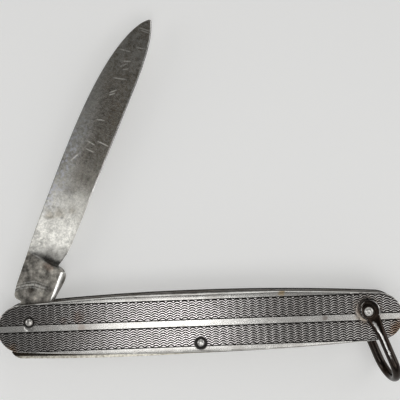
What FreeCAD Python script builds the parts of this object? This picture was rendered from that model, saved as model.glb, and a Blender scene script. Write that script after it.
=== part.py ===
import FreeCAD, Part
import math
import os
import Sketcher

# Slim folding pocket knife lying on its rear scale: X along the handle with the bail at +X,
# Y towards the side where the blade opens, Z through the thickness, origin on the rear scale's face.

# Sizes in millimetres and angles in degrees.
DRIVING_SIZES = {
    "handle_length": 80.8,
    "handle_height": 12.0,
    "handle_nose_radius": 4.7,
    "scale_thickness": 1.2,
    "liner_thickness": 0.55,
    "liner_inset": 0.15,
    "slot_width": 2.5,
    "band_width": 1.4,
    "border_height": 9.2,
    "line_width": 0.18,
    "line_depth": 0.12,
    "border_slope_width": 0.85,
    "border_slope_drop": 0.09,
    "border_edge_drop": 0.6,
    "scale_edge_radius": 0.4,
    "pivot_end_inset": 6.4,
    "bail_end_inset": 7.2,
    "pivot_rise": 1.25,
    "spring_pin_drop": 4.0,
    "pin_radius": 0.68,
    "pin_fit": 0.02,
    "head_radius": 0.8,
    "head_rise": 0.14,
    "dimple_radius": 1.2,
    "dimple_depth": 0.32,
    "bail_seat_radius": 2.35,
    "bail_seat_depth": 0.06,
    "side_play": 0.05,
    "pivot_clearance": 0.05,
    "rest_angle": 67.4,
    "tang_seat": 3.3,
    "tang_cam_radius": 4.34,
    "tang_length": 12.2,
    "tang_flat_length": 2.6,
    "tang_hollow_place": 4.8,
    "tang_hollow_depth": 2.6,
    "kick_place": 9.5,
    "kick_width": 0.9,
    "kick_round": 0.7,
    "kick_round_drop": 0.35,
    "kick_shoulder_depth": 1.75,
    "kick_bevel_inset": 1.05,
    "kick_bevel_depth": 0.75,
    "run_up_place": 3.1,
    "run_up_step": 1.2,
    "run_up_lean": 0.1,
    "run_up_round": 0.6,
    "run_up_round_rise": 0.5,
    "tang_spine_place": 5.6,
    "tang_spine_height": 5.31,
    "blade_length": 65.45,
    "spine_height": 5.77,
    "spine_rise": 0.27,
    "spine_crest_place": 22.0,
    "point_depth": 1.15,
    "point_end_width": 0.12,
    "choil_depth": 1.0,
    "heel_gap": 1.1,
    "heel_depth": 1.75,
    "edge_start_gap": 4.6,
    "edge_start_depth": 2.1,
    "belly_place": 52.1,
    "belly_depth": 2.93,
    "edge_thickness": 0.2,
    "nick_place": 21.8,
    "nick_length": 8.5,
    "nick_width": 1.1,
    "nick_depth": 0.45,
    "nick_spine_gap": 1.4,
    "spring_gap": 0.05,
    "spring_inset": 0.1,
    "spring_bend_place": 2.0,
    "spring_nose_reach": 2.95,
    "spring_stand": 0.45,
    "spring_toe_reach": 1.1,
    "spring_toe_height": 1.37,
    "spring_toe_slope": 0.5,
    "spring_heel_reach": 2.45,
    "spring_heel_radius": 2.6,
    "spacer_wall": 0.68,
    "spacer_inset": 0.25,
    "bail_gap": 0.15,
    "bail_eye_radius": 2.1,
    "bail_eye_thickness": 1.0,
    "bail_wire_diameter": 1.6,
    "bail_length": 16.0,
    "bail_neck_length": 5.4,
    "bail_taper_start": 2.1,
    "bail_angle": 68.7,
    "bail_skew": 0.45,
    "bail_clearance": 0.08,
    "washer_radius": 1.45,
    "washer_thickness": 0.28,
    "rivet_head_radius": 0.9,
    "rivet_head_rise": 0.4,
    "overrun": 1.0,
}

# Places along the curved part of the blade, as shares of that part's length.
POINT_STATION_SHARES = (0.0, 0.25, 0.45, 0.6, 0.7, 0.79, 0.86, 0.915, 0.955, 0.985)
# Places along the straight part of the blade, as shares of its run between heel and curve.
STRAIGHT_STATION_SHARES = (0.5,)
# Powers that shape the fall of the spine and the rise of the belly towards the point.
SPINE_POWERS = (3.43, 0.644)
BELLY_POWERS = (3.18, 0.85)
# Part of the spine's thickness that the blade loses between its tang and its point.
SPINE_TAPER_SHARE = 0.45

doc = FreeCAD.newDocument("pocket_knife")
sheet = doc.addObject("Spreadsheet::Sheet", "Sizes")


class Size:
    """A size known both as a number and as the sheet expression that gives it."""

    def __init__(self, value, text):
        self.value = value
        self.text = text

    def __add__(self, other):
        other = as_size(other)
        return Size(self.value + other.value, f"({self.text} + {other.text})")

    def __sub__(self, other):
        other = as_size(other)
        return Size(self.value - other.value, f"({self.text} - {other.text})")

    def __mul__(self, other):
        other = as_size(other)
        return Size(self.value * other.value, f"({self.text} * {other.text})")

    def __truediv__(self, other):
        other = as_size(other)
        return Size(self.value / other.value, f"({self.text} / {other.text})")

    def __neg__(self):
        return Size(-self.value, f"(0 - {self.text})")

    def root(self):
        return Size(math.sqrt(self.value), f"sqrt({self.text})")

    def power(self, exponent):
        return Size(self.value**exponent, f"({self.text} ^ {exponent})")


def as_size(number):
    """A plain number as a size."""
    if isinstance(number, Size):
        return number
    return Size(float(number), repr(float(number)))


class Sheet:
    """The sheet's sizes by name, driving ones first and derived ones below them."""

    def __init__(self, driving):
        self.sizes = {}
        for name, value in driving.items():
            self.write(name, str(value), value)

    def write(self, name, content, value):
        row = len(self.sizes) + 1
        sheet.set(f"A{row}", name)
        sheet.set(f"B{row}", content)
        sheet.setAlias(f"B{row}", name)
        self.sizes[name] = Size(value, f"Sizes.{name}")

    def derive(self, name, size):
        self.write(name, "=" + size.text.replace("Sizes.", ""), size.value)
        return self.sizes[name]

    def __getattr__(self, name):
        return self.sizes[name]


ZERO = as_size(0)
S = Sheet(DRIVING_SIZES)

thickness = S.derive("handle_thickness", (S.scale_thickness + S.liner_thickness) * 2 + S.slot_width)
mid_plane = S.derive("mid_plane", thickness / 2)
half_height = S.derive("half_height", S.handle_height / 2)
nose_x = S.derive("nose_centre", S.handle_length / 2 - S.handle_nose_radius)
long_radius = S.derive(
    "long_radius",
    (nose_x * nose_x + half_height * half_height - S.handle_nose_radius * S.handle_nose_radius)
    / ((half_height - S.handle_nose_radius) * 2),
)
pivot_x = S.derive("pivot_place", S.pivot_end_inset - S.handle_length / 2)
bail_x = S.derive("bail_place", S.handle_length / 2 - S.bail_end_inset)
spring_line = S.derive("spring_line", S.pivot_rise - S.tang_seat - S.spring_gap)
spring_lift = S.derive("spring_lift", S.tang_cam_radius - S.tang_seat)
tang_thickness = S.derive("tang_thickness", S.slot_width - S.side_play * 2)
bail_inner = S.derive("bail_inner", thickness / 2 + S.bail_gap)
wire_radius = S.derive("wire_radius", S.bail_wire_diameter / 2)
bow_radius = S.derive("bow_radius", bail_inner + wire_radius)
eye_outer = S.derive("eye_outer", bail_inner + S.bail_eye_thickness)
hole_radius = S.derive("hole_radius", S.pin_radius + S.pin_fit)
doc.recompute()


def plane_of(body, role):
    """The body's own origin plane of that role."""
    return [feature for feature in body.Origin.OriginFeatures if feature.Role == role][0]


def new_sketch(body, name, role, across=ZERO, out=ZERO):
    """A sketch on an origin plane, shifted along its first axis and out of it."""
    sketch = body.newObject("Sketcher::SketchObject", name)
    sketch.AttachmentSupport = (plane_of(body, role), [""])
    sketch.MapMode = "FlatFace"
    for axis, size in (("x", across), ("z", out)):
        if size is not ZERO:
            sketch.setExpression(f"AttachmentOffset.Base.{axis}", size.text)
    return sketch


def fix_value(sketch, constraint, size):
    """Adds a dimension and binds it to its size."""
    index = sketch.addConstraint(constraint)
    sketch.setExpression(f"Constraints[{index}]", size.text)


def fix_point(sketch, geometry, vertex, x, y):
    """Ties a vertex to its two coordinates."""
    fix_value(sketch, Sketcher.Constraint("DistanceX", -1, 1, geometry, vertex, x.value), x)
    fix_value(sketch, Sketcher.Constraint("DistanceY", -1, 1, geometry, vertex, y.value), y)


def arc_between(start, end, radius, turn):
    """The shorter arc from start to end, to the left for turn 1 and to the right for turn -1."""
    chord = end - start
    side = FreeCAD.Vector(-chord.y, chord.x, 0) * (turn / chord.Length)
    rise = math.sqrt(max(radius * radius - chord.Length * chord.Length / 4, 0))
    centre = (start + end) * 0.5 + side * rise
    first, last = (start, end) if turn > 0 else (end, start)
    angles = [math.atan2(point.y - centre.y, point.x - centre.x) for point in (first, last)]
    return Part.ArcOfCircle(Part.Circle(centre, FreeCAD.Vector(0, 0, 1), radius), *angles)


def draw_loop(sketch, corners):
    """A closed outline of corners (x, y, bend): bend is None or the (radius, turn) of the side that follows."""
    first = sketch.GeometryCount
    count = len(corners)
    ends = []
    for number, (x, y, bend) in enumerate(corners):
        next_x, next_y, _ = corners[(number + 1) % count]
        start = FreeCAD.Vector(x.value, y.value, 0)
        end = FreeCAD.Vector(next_x.value, next_y.value, 0)
        if bend is None:
            sketch.addGeometry(Part.LineSegment(start, end), False)
        else:
            sketch.addGeometry(arc_between(start, end, bend[0].value, bend[1]), False)
        ends.append((1, 2) if bend is None or bend[1] > 0 else (2, 1))
    for number, (x, y, bend) in enumerate(corners):
        after = (number + 1) % count
        sketch.addConstraint(
            Sketcher.Constraint("Coincident", first + number, ends[number][1], first + after, ends[after][0])
        )
        fix_point(sketch, first + number, ends[number][0], x, y)
        if bend is not None:
            radius = bend[0]
            fix_value(sketch, Sketcher.Constraint("Radius", first + number, radius.value), radius)


def draw_circle(sketch, x, y, radius):
    """A circle tied to its centre and radius."""
    centre = FreeCAD.Vector(x.value, y.value, 0)
    circle = sketch.addGeometry(Part.Circle(centre, FreeCAD.Vector(0, 0, 1), radius.value), False)
    fix_point(sketch, circle, 3, x, y)
    fix_value(sketch, Sketcher.Constraint("Radius", circle, radius.value), radius)


def new_body(name, x=ZERO, y=ZERO, z=ZERO):
    """A body at its place in the handle's frame."""
    body = doc.addObject("PartDesign::Body", name)
    body.Label = name
    for axis, size in (("x", x), ("y", y), ("z", z)):
        body.setExpression(f"Placement.Base.{axis}", size.text)
    return body


def extrude(body, kind, name, sketch, length=None, symmetric=False, reverse=False):
    """A pad or pocket of a sketch; a pocket without a length goes through everything."""
    feature = body.newObject(f"PartDesign::{kind}", name)
    feature.Profile = sketch
    feature.SideType = "Symmetric" if symmetric else "One side"
    feature.Reversed = reverse
    if length is None:
        feature.Type = "ThroughAll"
    else:
        feature.setExpression("Length", length.text)
    return feature


def turn_about(body, kind, name, sketch, axis="V_Axis"):
    """A revolution or groove of a sketch about one of its axes."""
    feature = body.newObject(f"PartDesign::{kind}", name)
    feature.Profile = sketch
    feature.ReferenceAxis = (sketch, [axis])
    return feature


def lens_corners(inset):
    """The handle's outline: two long arcs that run into two round noses."""
    nose = S.handle_nose_radius - inset
    reach = nose / (long_radius - S.handle_nose_radius)
    x = nose_x + nose_x * reach
    y = (long_radius - half_height) * reach
    around = (nose, 1)
    along = (long_radius - inset, 1)
    return [(x, -y, around), (x, y, along), (-x, y, around), (-x, -y, along)]


def lens_half_height(x, inset):
    """Half the handle's height at x on its long arcs."""
    radius = long_radius - inset
    return (radius * radius - x * x).root() - (long_radius - half_height)


def nose_reach(y, inset):
    """The distance from the middle at which the nose is y high."""
    nose = S.handle_nose_radius - inset
    return nose_x + (nose * nose - y * y).root()


def build_scale(name, side, seat_z):
    """A cover plate with a plain middle band, ruled lines, sloping borders and dimpled pin holes."""
    body = new_body(name, z=seat_z)
    outline = new_sketch(body, f"{name}_outline", "XY_Plane")
    draw_loop(outline, lens_corners(ZERO))
    plate = extrude(body, "Pad", f"{name}_plate", outline, S.scale_thickness, reverse=side < 0)
    doc.recompute()

    face = S.scale_thickness
    rim = [
        f"Edge{number + 1}"
        for number, edge in enumerate(plate.Shape.Edges)
        if abs(edge.BoundBox.ZMin - side * face.value) < 1e-6 and edge.BoundBox.ZLength < 1e-6
    ]
    rounded = body.newObject("PartDesign::Fillet", f"{name}_rim")
    rounded.Base = (plate, rim)
    rounded.setExpression("Radius", S.scale_edge_radius.text)

    def level(depth):
        return (face - depth) * side

    border = S.border_height / 2
    slopes = new_sketch(body, f"{name}_slopes", "YZ_Plane")
    for across in (1, -1):
        start = border + S.line_width / 2
        knee = start + S.border_slope_width
        foot = half_height + S.line_width
        outside = half_height + S.overrun
        drawn = [
            (start, level(ZERO)),
            (knee, level(S.border_slope_drop)),
            (foot, level(S.border_edge_drop)),
            (outside, level(S.border_edge_drop)),
            (outside, level(-S.overrun)),
            (start, level(-S.overrun)),
        ]
        draw_loop(slopes, [(y * across, z, None) for y, z in drawn])
    extrude(body, "Pocket", f"{name}_borders", slopes, symmetric=True)

    lines = new_sketch(body, f"{name}_lines", "YZ_Plane")
    for middle in (border, S.band_width / 2, -(S.band_width / 2), -border):
        drawn = [
            (middle - S.line_width / 2, level(ZERO)),
            (middle, level(S.line_depth)),
            (middle + S.line_width / 2, level(ZERO)),
            (middle + S.line_width / 2, level(-S.overrun)),
            (middle - S.line_width / 2, level(-S.overrun)),
        ]
        draw_loop(lines, [(y, z, None) for y, z in drawn])
    extrude(body, "Pocket", f"{name}_ruling", lines, symmetric=True)

    dimple = [(hole_radius, S.dimple_depth), (S.dimple_radius, ZERO)]
    flat_seat = [(hole_radius, S.bail_seat_depth), (S.bail_seat_radius, S.bail_seat_depth)]
    holes = (
        ("pivot", pivot_x, S.pivot_rise, dimple),
        ("spring", ZERO, -S.spring_pin_drop, dimple),
        ("bail", bail_x, S.pivot_rise, flat_seat),
    )
    for place, x, y, seat in holes:
        profile = new_sketch(body, f"{name}_{place}_hole_profile", "XZ_Plane", across=x, out=-y)
        outside = -S.overrun
        inside = face + S.overrun
        drawn = [(ZERO, inside), (hole_radius, inside), *seat, (seat[-1][0], outside), (ZERO, outside)]
        draw_loop(profile, [(radius, level(depth), None) for radius, depth in drawn])
        turn_about(body, "Groove", f"{name}_{place}_hole", profile)
    return body


def build_liner(name, seat_z):
    """A flat plate that lines the slot."""
    body = new_body(name, z=seat_z)
    outline = new_sketch(body, f"{name}_outline", "XY_Plane")
    draw_loop(outline, lens_corners(S.liner_inset))
    for x, y in ((pivot_x, S.pivot_rise), (ZERO, -S.spring_pin_drop), (bail_x, S.pivot_rise)):
        draw_circle(outline, x, y, hole_radius)
    extrude(body, "Pad", f"{name}_plate", outline, S.liner_thickness)
    return body


def build_pin(name, x, y, half_length, head_radius, head_height, seat_depth):
    """A round pin with a domed head at each end, reaching half_length from the middle plane to its crowns."""
    body = new_body(name, x, y, mid_plane)
    profile = new_sketch(body, f"{name}_profile", "XZ_Plane")
    rim = half_length - head_height
    under = rim - seat_depth
    dome = (head_radius * head_radius + head_height * head_height) / (head_height * 2)
    draw_loop(
        profile,
        [
            (ZERO, -half_length, (dome, 1)),
            (head_radius, -rim, None),
            (S.pin_radius, -under, None),
            (S.pin_radius, under, None),
            (head_radius, rim, (dome, 1)),
            (ZERO, half_length, None),
        ],
    )
    turn_about(body, "Revolution", f"{name}_turned", profile)
    return body


def blade_edge_depth(place):
    """How far the cutting edge lies below the pivot's line at a place along the blade."""
    start = S.tang_length + S.edge_start_gap
    if place.value <= S.belly_place.value:
        share = (place - start) / (S.belly_place - start)
        return S.edge_start_depth + (S.belly_depth - S.edge_start_depth) * share
    share = (place - S.belly_place) / (S.blade_length - S.belly_place)
    first, second = BELLY_POWERS
    left = (ZERO + 1 - share.power(first)).power(second)
    return S.point_depth + (S.belly_depth - S.point_depth) * left


def blade_spine_height(place):
    """How far the spine lies above the pivot's line, up to where it starts to fall towards the point."""
    if place.value >= S.spine_crest_place.value:
        return S.spine_height
    share = (S.spine_crest_place - place) / (S.spine_crest_place - S.tang_length)
    return S.spine_height - S.spine_rise * share * share


def blade_stations():
    """Places along the blade with its spine height and edge depth there, tang first."""
    heel = S.tang_length + S.heel_gap
    start = S.tang_length + S.edge_start_gap
    found = [
        (S.tang_length, blade_spine_height(S.tang_length), S.choil_depth),
        (heel, blade_spine_height(heel), S.heel_depth),
        (start, blade_spine_height(start), S.edge_start_depth),
    ]
    for share in STRAIGHT_STATION_SHARES:
        place = start + (S.spine_crest_place - start) * share
        found.append((place, blade_spine_height(place), blade_edge_depth(place)))
    first, second = SPINE_POWERS
    for share in POINT_STATION_SHARES:
        place = S.spine_crest_place + (S.blade_length - S.spine_crest_place) * share
        spine = (S.spine_height + S.point_depth) * (1 - share**first) ** second - S.point_depth
        found.append((place, spine, blade_edge_depth(place)))
    half_point = S.point_end_width / 2
    found.append((S.blade_length, half_point - S.point_depth, S.point_depth + half_point))
    return found


def build_blade(name):
    """The blade in its own frame: pivot at the origin, spine towards +Y, point towards +X."""
    body = new_body(name, pivot_x, S.pivot_rise, mid_plane)
    body.setExpression("Placement.Rotation.Angle", f"{S.rest_angle.text} * 1 deg")
    seat = S.tang_seat
    cam = S.tang_cam_radius
    chord = (cam * cam - seat * seat).root()
    step_x = S.run_up_place + S.run_up_lean
    step_y = seat + S.run_up_step
    tang = new_sketch(body, "tang_outline", "XY_Plane")
    draw_loop(
        tang,
        [
            (-chord, seat, (cam, 1)),
            (-chord, -seat, None),
            (S.tang_flat_length, -seat, None),
            (S.tang_hollow_place, -S.tang_hollow_depth, None),
            (S.kick_place, -seat, None),
            (S.kick_place + S.kick_width, -seat, None),
            (S.kick_place + S.kick_width + S.kick_round, S.kick_round_drop - seat, None),
            (S.tang_length - S.line_width, -S.kick_shoulder_depth, None),
            (S.tang_length, -S.choil_depth, None),
            (S.tang_length, blade_spine_height(S.tang_length), None),
            (S.tang_spine_place, S.tang_spine_height, None),
            (step_x + S.run_up_round, step_y + S.run_up_round_rise, None),
            (step_x, step_y, None),
            (S.run_up_place, seat, None),
        ],
    )
    extrude(body, "Pad", "tang", tang, tang_thickness, symmetric=True)

    face = tang_thickness / 2
    bevels = new_sketch(body, "kick_bevel_profile", "YZ_Plane", out=S.tang_flat_length)
    for side in (1, -1):
        inner = seat - S.kick_bevel_inset
        outer = seat + S.overrun
        steep = S.kick_bevel_depth / S.kick_bevel_inset
        drawn = [
            (-inner, face),
            (-outer, face - (outer - inner) * steep),
            (-outer, face + S.overrun),
            (-inner, face + S.overrun),
        ]
        draw_loop(bevels, [(y, z * side, None) for y, z in drawn])
    run = S.tang_length - S.tang_flat_length
    extrude(body, "Pocket", "kick_bevels", bevels, run, reverse=True)

    stations = blade_stations()
    sections = []
    for number, (place, spine, edge) in enumerate(stations):
        worn = (place - S.tang_length) / (S.blade_length - S.tang_length) * SPINE_TAPER_SHARE
        height_share = (spine + S.point_depth) / (S.spine_height + S.point_depth)
        gain = (tang_thickness - S.edge_thickness) * height_share * (ZERO + 1 - worn)
        back = (S.edge_thickness + gain) / 2
        tip = S.edge_thickness / 2
        section = new_sketch(body, f"blade_section_{number}", "YZ_Plane", out=place)
        draw_loop(
            section,
            [(spine, back, None), (-edge, tip, None), (-edge, -tip, None), (spine, -back, None)],
        )
        sections.append(section)
    ground = body.newObject("PartDesign::AdditiveLoft", "ground_blade")
    ground.Profile = sections[0]
    ground.Sections = sections[1:]
    ground.Ruled = True

    hole = new_sketch(body, "pivot_hole_outline", "XY_Plane")
    draw_circle(hole, ZERO, ZERO, S.pin_radius + S.pivot_clearance)
    extrude(body, "Pocket", "pivot_hole", hole, symmetric=True)

    nick = new_sketch(body, "nail_nick_profile", "YZ_Plane", out=S.nick_place)
    wall = S.spine_height - S.nick_spine_gap
    half_nick = S.nick_length / 2
    wheel = (half_nick * half_nick + S.nick_depth * S.nick_depth) / (S.nick_depth * 2)
    draw_loop(
        nick,
        [
            (wall, -(face + S.overrun), None),
            (wall, -(face - S.nick_depth), None),
            (wall - S.nick_width, -face, None),
            (wall - S.nick_width, -(face + S.overrun), None),
        ],
    )
    axle = -(face + wheel - S.nick_depth)
    start = FreeCAD.Vector(0, axle.value, 0)
    end = FreeCAD.Vector(wall.value, axle.value, 0)
    line = nick.addGeometry(Part.LineSegment(start, end), True)
    fix_point(nick, line, 1, ZERO, axle)
    fix_point(nick, line, 2, wall, axle)
    turn_about(body, "Groove", "nail_nick", nick, axis="Axis0")
    return body


def build_spring(name):
    """The back spring, pinned at its middle and standing proud, with the arm under the tang lifted by the cam."""
    body = new_body(name, z=mid_plane)
    inset = S.spring_inset
    bend_x = -S.spring_bend_place
    slope = spring_lift / (bend_x - pivot_x)
    tip_x = pivot_x - S.spring_nose_reach
    toe_x = tip_x - S.spring_toe_reach
    heel_x = toe_x + S.spring_heel_reach
    heel_y = -lens_half_height(heel_x, inset) - (bend_x - heel_x) * slope - S.spring_stand
    toe_y = heel_y + S.spring_toe_height
    arc = (long_radius - inset, 1)
    corner_x, corner_y, around = lens_corners(inset)[1]
    outline = new_sketch(body, "spring_outline", "XY_Plane")
    draw_loop(
        outline,
        [
            (nose_reach(spring_line, inset), spring_line, None),
            (bend_x, spring_line, None),
            (tip_x, spring_line - (bend_x - tip_x) * slope, None),
            (tip_x, toe_y + S.spring_toe_slope, None),
            (toe_x, toe_y, (S.spring_heel_radius, 1)),
            (heel_x, heel_y, arc),
            (bend_x, -lens_half_height(bend_x, inset) - S.spring_stand, arc),
            (corner_x, -corner_y, (S.handle_nose_radius - inset, 1)),
        ],
    )
    draw_circle(outline, ZERO, -S.spring_pin_drop, hole_radius)
    extrude(body, "Pad", "spring_bar", outline, S.slot_width, symmetric=True)
    return body


def build_spacer(name):
    """The block that closes the slot at the bail end and carries the bail's rivet and the spring's fixed arm."""
    body = new_body(name, z=mid_plane)
    inset = S.spacer_inset
    wall = hole_radius + S.spacer_wall
    top = S.pivot_rise + wall
    outline = new_sketch(body, "spacer_outline", "XY_Plane")
    draw_loop(
        outline,
        [
            (bail_x - wall, spring_line, None),
            (nose_reach(spring_line, inset), spring_line, (S.handle_nose_radius - inset, 1)),
            (nose_reach(top, inset), top, None),
            (bail_x, top, (wall, 1)),
            (bail_x - wall, S.pivot_rise, None),
        ],
    )
    draw_circle(outline, bail_x, S.pivot_rise, hole_radius)
    extrude(body, "Pad", "spacer_block", outline, S.slot_width, symmetric=True)
    return body


def build_washer(name, side):
    """A flat ring between the bail's eye and the rivet's head."""
    seat = eye_outer + S.side_play
    base = mid_plane + seat * side
    body = new_body(name, bail_x, S.pivot_rise, base)
    ring = new_sketch(body, f"{name}_outline", "XY_Plane")
    draw_circle(ring, ZERO, ZERO, S.washer_radius)
    draw_circle(ring, ZERO, ZERO, hole_radius)
    extrude(body, "Pad", f"{name}_ring", ring, S.washer_thickness, reverse=side < 0)
    return body


def build_bail(name):
    """The bail in its own frame: pin at the origin, bow towards +X, one flat eye on each side of the handle."""
    body = new_body(name, bail_x, S.pivot_rise, mid_plane)
    body.setExpression("Placement.Rotation.Angle", f"(0 - {S.bail_angle.text}) * 1 deg")
    eye = S.bail_eye_radius
    neck = S.bail_neck_length
    lean = (eye - wire_radius) / neck
    side_x = eye * lean
    side_y = eye * (ZERO + 1 - lean * lean).root()
    for side, word in ((1, "front"), (-1, "rear")):
        ear = new_sketch(body, f"{word}_eye_outline", "XY_Plane", out=bail_inner * side)
        draw_loop(
            ear,
            [
                (side_x, side_y, (eye, 1)),
                (-eye, ZERO, (eye, 1)),
                (side_x, -side_y, None),
                (neck, S.bail_skew * side - wire_radius, None),
                (neck, S.bail_skew * side + wire_radius, None),
            ],
        )
        extrude(body, "Pad", f"{word}_eye", ear, S.bail_eye_thickness, reverse=side < 0)
    bow_x = S.bail_length - wire_radius - bow_radius
    wire_level = (bow_radius * bow_radius - S.bail_skew * S.bail_skew).root()
    route = new_sketch(body, "bow_route", "XZ_Plane")
    lean_axis = FreeCAD.Vector(-1, 0, 0)
    lean_angle = math.degrees(math.asin(S.bail_skew.value / bow_radius.value))
    route.AttachmentOffset = FreeCAD.Placement(FreeCAD.Vector(), FreeCAD.Rotation(lean_axis, lean_angle))
    route.setExpression("AttachmentOffset.Rotation.Angle", f"asin({S.bail_skew.text} / {bow_radius.text})")
    begin = FreeCAD.Vector(neck.value, bow_radius.value, 0)
    top = FreeCAD.Vector(bow_x.value, bow_radius.value, 0)
    bottom = FreeCAD.Vector(bow_x.value, -bow_radius.value, 0)
    finish = FreeCAD.Vector(neck.value, -bow_radius.value, 0)
    crown = Part.Circle(FreeCAD.Vector(bow_x.value, 0, 0), FreeCAD.Vector(0, 0, 1), bow_radius.value)
    route.addGeometry(Part.LineSegment(begin, top), False)
    route.addGeometry(Part.ArcOfCircle(crown, -math.pi / 2, math.pi / 2), False)
    route.addGeometry(Part.LineSegment(bottom, finish), False)
    route.addConstraint(Sketcher.Constraint("Coincident", 0, 2, 1, 2))
    route.addConstraint(Sketcher.Constraint("Coincident", 1, 1, 2, 1))
    fix_point(route, 0, 1, neck, bow_radius)
    fix_point(route, 0, 2, bow_x, bow_radius)
    fix_point(route, 2, 1, bow_x, -bow_radius)
    fix_point(route, 2, 2, neck, -bow_radius)
    fix_value(route, Sketcher.Constraint("DistanceX", -1, 1, 1, 3, bow_x.value), bow_x)
    wire = new_sketch(body, "wire_section", "YZ_Plane", out=neck)
    draw_circle(wire, S.bail_skew, wire_level, wire_radius)
    bow = body.newObject("PartDesign::AdditivePipe", "bow")
    bow.Profile = wire
    bow.Spine = (route, [])
    for side, word in ((1, "front"), (-1, "rear")):
        thin = S.bail_eye_thickness / 2
        start = new_sketch(body, f"{word}_taper_start", "YZ_Plane", out=S.bail_taper_start)
        draw_circle(start, ZERO, (bail_inner + thin) * side, thin - S.side_play)
        end = new_sketch(body, f"{word}_taper_end", "YZ_Plane", out=neck)
        draw_circle(end, S.bail_skew * side, wire_level * side, wire_radius)
        taper = body.newObject("PartDesign::AdditiveLoft", f"{word}_taper")
        taper.Profile = start
        taper.Sections = [end]
    hole = new_sketch(body, "eye_hole_outline", "XY_Plane")
    draw_circle(hole, ZERO, ZERO, S.pin_radius + S.bail_clearance)
    extrude(body, "Pocket", "eye_holes", hole, symmetric=True)
    return body


front_face = thickness - S.scale_thickness
crown_height = thickness / 2 + S.head_rise
rivet_height = eye_outer + S.side_play + S.washer_thickness + S.rivet_head_rise
dimple_slope = S.dimple_depth / (S.dimple_radius - hole_radius)
head_seat = dimple_slope * (S.head_radius - S.pin_radius)
head_height = S.head_rise + dimple_slope * (S.dimple_radius - S.head_radius) - S.pin_fit
parts = [
    build_scale("front_scale", 1, front_face),
    build_scale("rear_scale", -1, S.scale_thickness),
    build_liner("front_liner", front_face - S.liner_thickness),
    build_liner("rear_liner", S.scale_thickness),
    build_spring("back_spring"),
    build_spacer("end_spacer"),
    build_pin("main_pivot_pin", pivot_x, S.pivot_rise, crown_height, S.head_radius, head_height, head_seat),
    build_pin("spring_pin", ZERO, -S.spring_pin_drop, crown_height, S.head_radius, head_height, head_seat),
    build_pin("bail_rivet", bail_x, S.pivot_rise, rivet_height, S.rivet_head_radius, S.rivet_head_rise, ZERO),
    build_washer("front_bail_washer", 1),
    build_washer("rear_bail_washer", -1),
    build_blade("main_blade"),
    build_bail("bail"),
]
doc.recompute()

for item in doc.Objects:
    if "Invalid" in item.State or "Error" in item.State:
        raise RuntimeError(f"{item.Name} did not build: {item.State}")
os.makedirs("parts", exist_ok=True)
for item in parts:
    shape = item.Shape
    if shape.isNull() or not shape.isValid() or len(shape.Solids) != 1:
        raise RuntimeError(f"{item.Label} is not one valid solid")
    shape.exportStep(f"parts/{item.Label}.step")
    print(item.Label, round(shape.Volume, 3), shape.BoundBox)
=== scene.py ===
"""Looks of the folding pocket knife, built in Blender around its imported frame."""

import logging
import math
from dataclasses import dataclass
from enum import Enum
from functools import cache

import bmesh
import bpy
import numpy as np
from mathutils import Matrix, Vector


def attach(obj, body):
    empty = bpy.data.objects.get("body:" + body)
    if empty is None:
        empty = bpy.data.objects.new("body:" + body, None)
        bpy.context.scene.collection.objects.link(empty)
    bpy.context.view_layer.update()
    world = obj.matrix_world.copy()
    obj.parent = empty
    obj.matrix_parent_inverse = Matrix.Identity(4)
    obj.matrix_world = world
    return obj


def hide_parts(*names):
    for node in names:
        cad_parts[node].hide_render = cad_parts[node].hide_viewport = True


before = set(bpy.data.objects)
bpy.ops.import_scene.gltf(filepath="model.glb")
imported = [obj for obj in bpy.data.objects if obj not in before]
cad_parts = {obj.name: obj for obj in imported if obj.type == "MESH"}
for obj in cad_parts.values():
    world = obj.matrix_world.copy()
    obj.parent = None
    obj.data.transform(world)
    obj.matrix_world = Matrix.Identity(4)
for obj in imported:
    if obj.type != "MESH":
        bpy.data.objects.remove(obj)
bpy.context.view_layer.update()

MM = 0.001
MERGE_REACH = 0.001 * MM
LOG = logging.getLogger("pocket_knife")

Array = np.ndarray
Piece = bpy.types.Object
Material = bpy.types.Material
Tree = bpy.types.NodeTree
Node = bpy.types.Node
Pair = tuple[float, float]
Triple = tuple[float, float, float]
Place = Triple
Colour = Triple
Span = tuple[float, float, float, float]

MAIN_PIN: Place = (-34.0, 1.25, 3.0)
SPRING_PIN: Place = (0.0, -4.0, 3.0)
BAIL_PIN: Place = (33.2, 1.25, 3.0)


class Side(Enum):
    """The two sides of the handle, with the sign of their outward direction."""

    FRONT = 1
    REAR = -1


class Socket(Enum):
    """Kinds of sockets on a group's interface, by Blender's names."""

    FLOAT = "NodeSocketFloat"
    VECTOR = "NodeSocketVector"
    COLOUR = "NodeSocketColor"
    GEOMETRY = "NodeSocketGeometry"
    MATERIAL = "NodeSocketMaterial"


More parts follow.
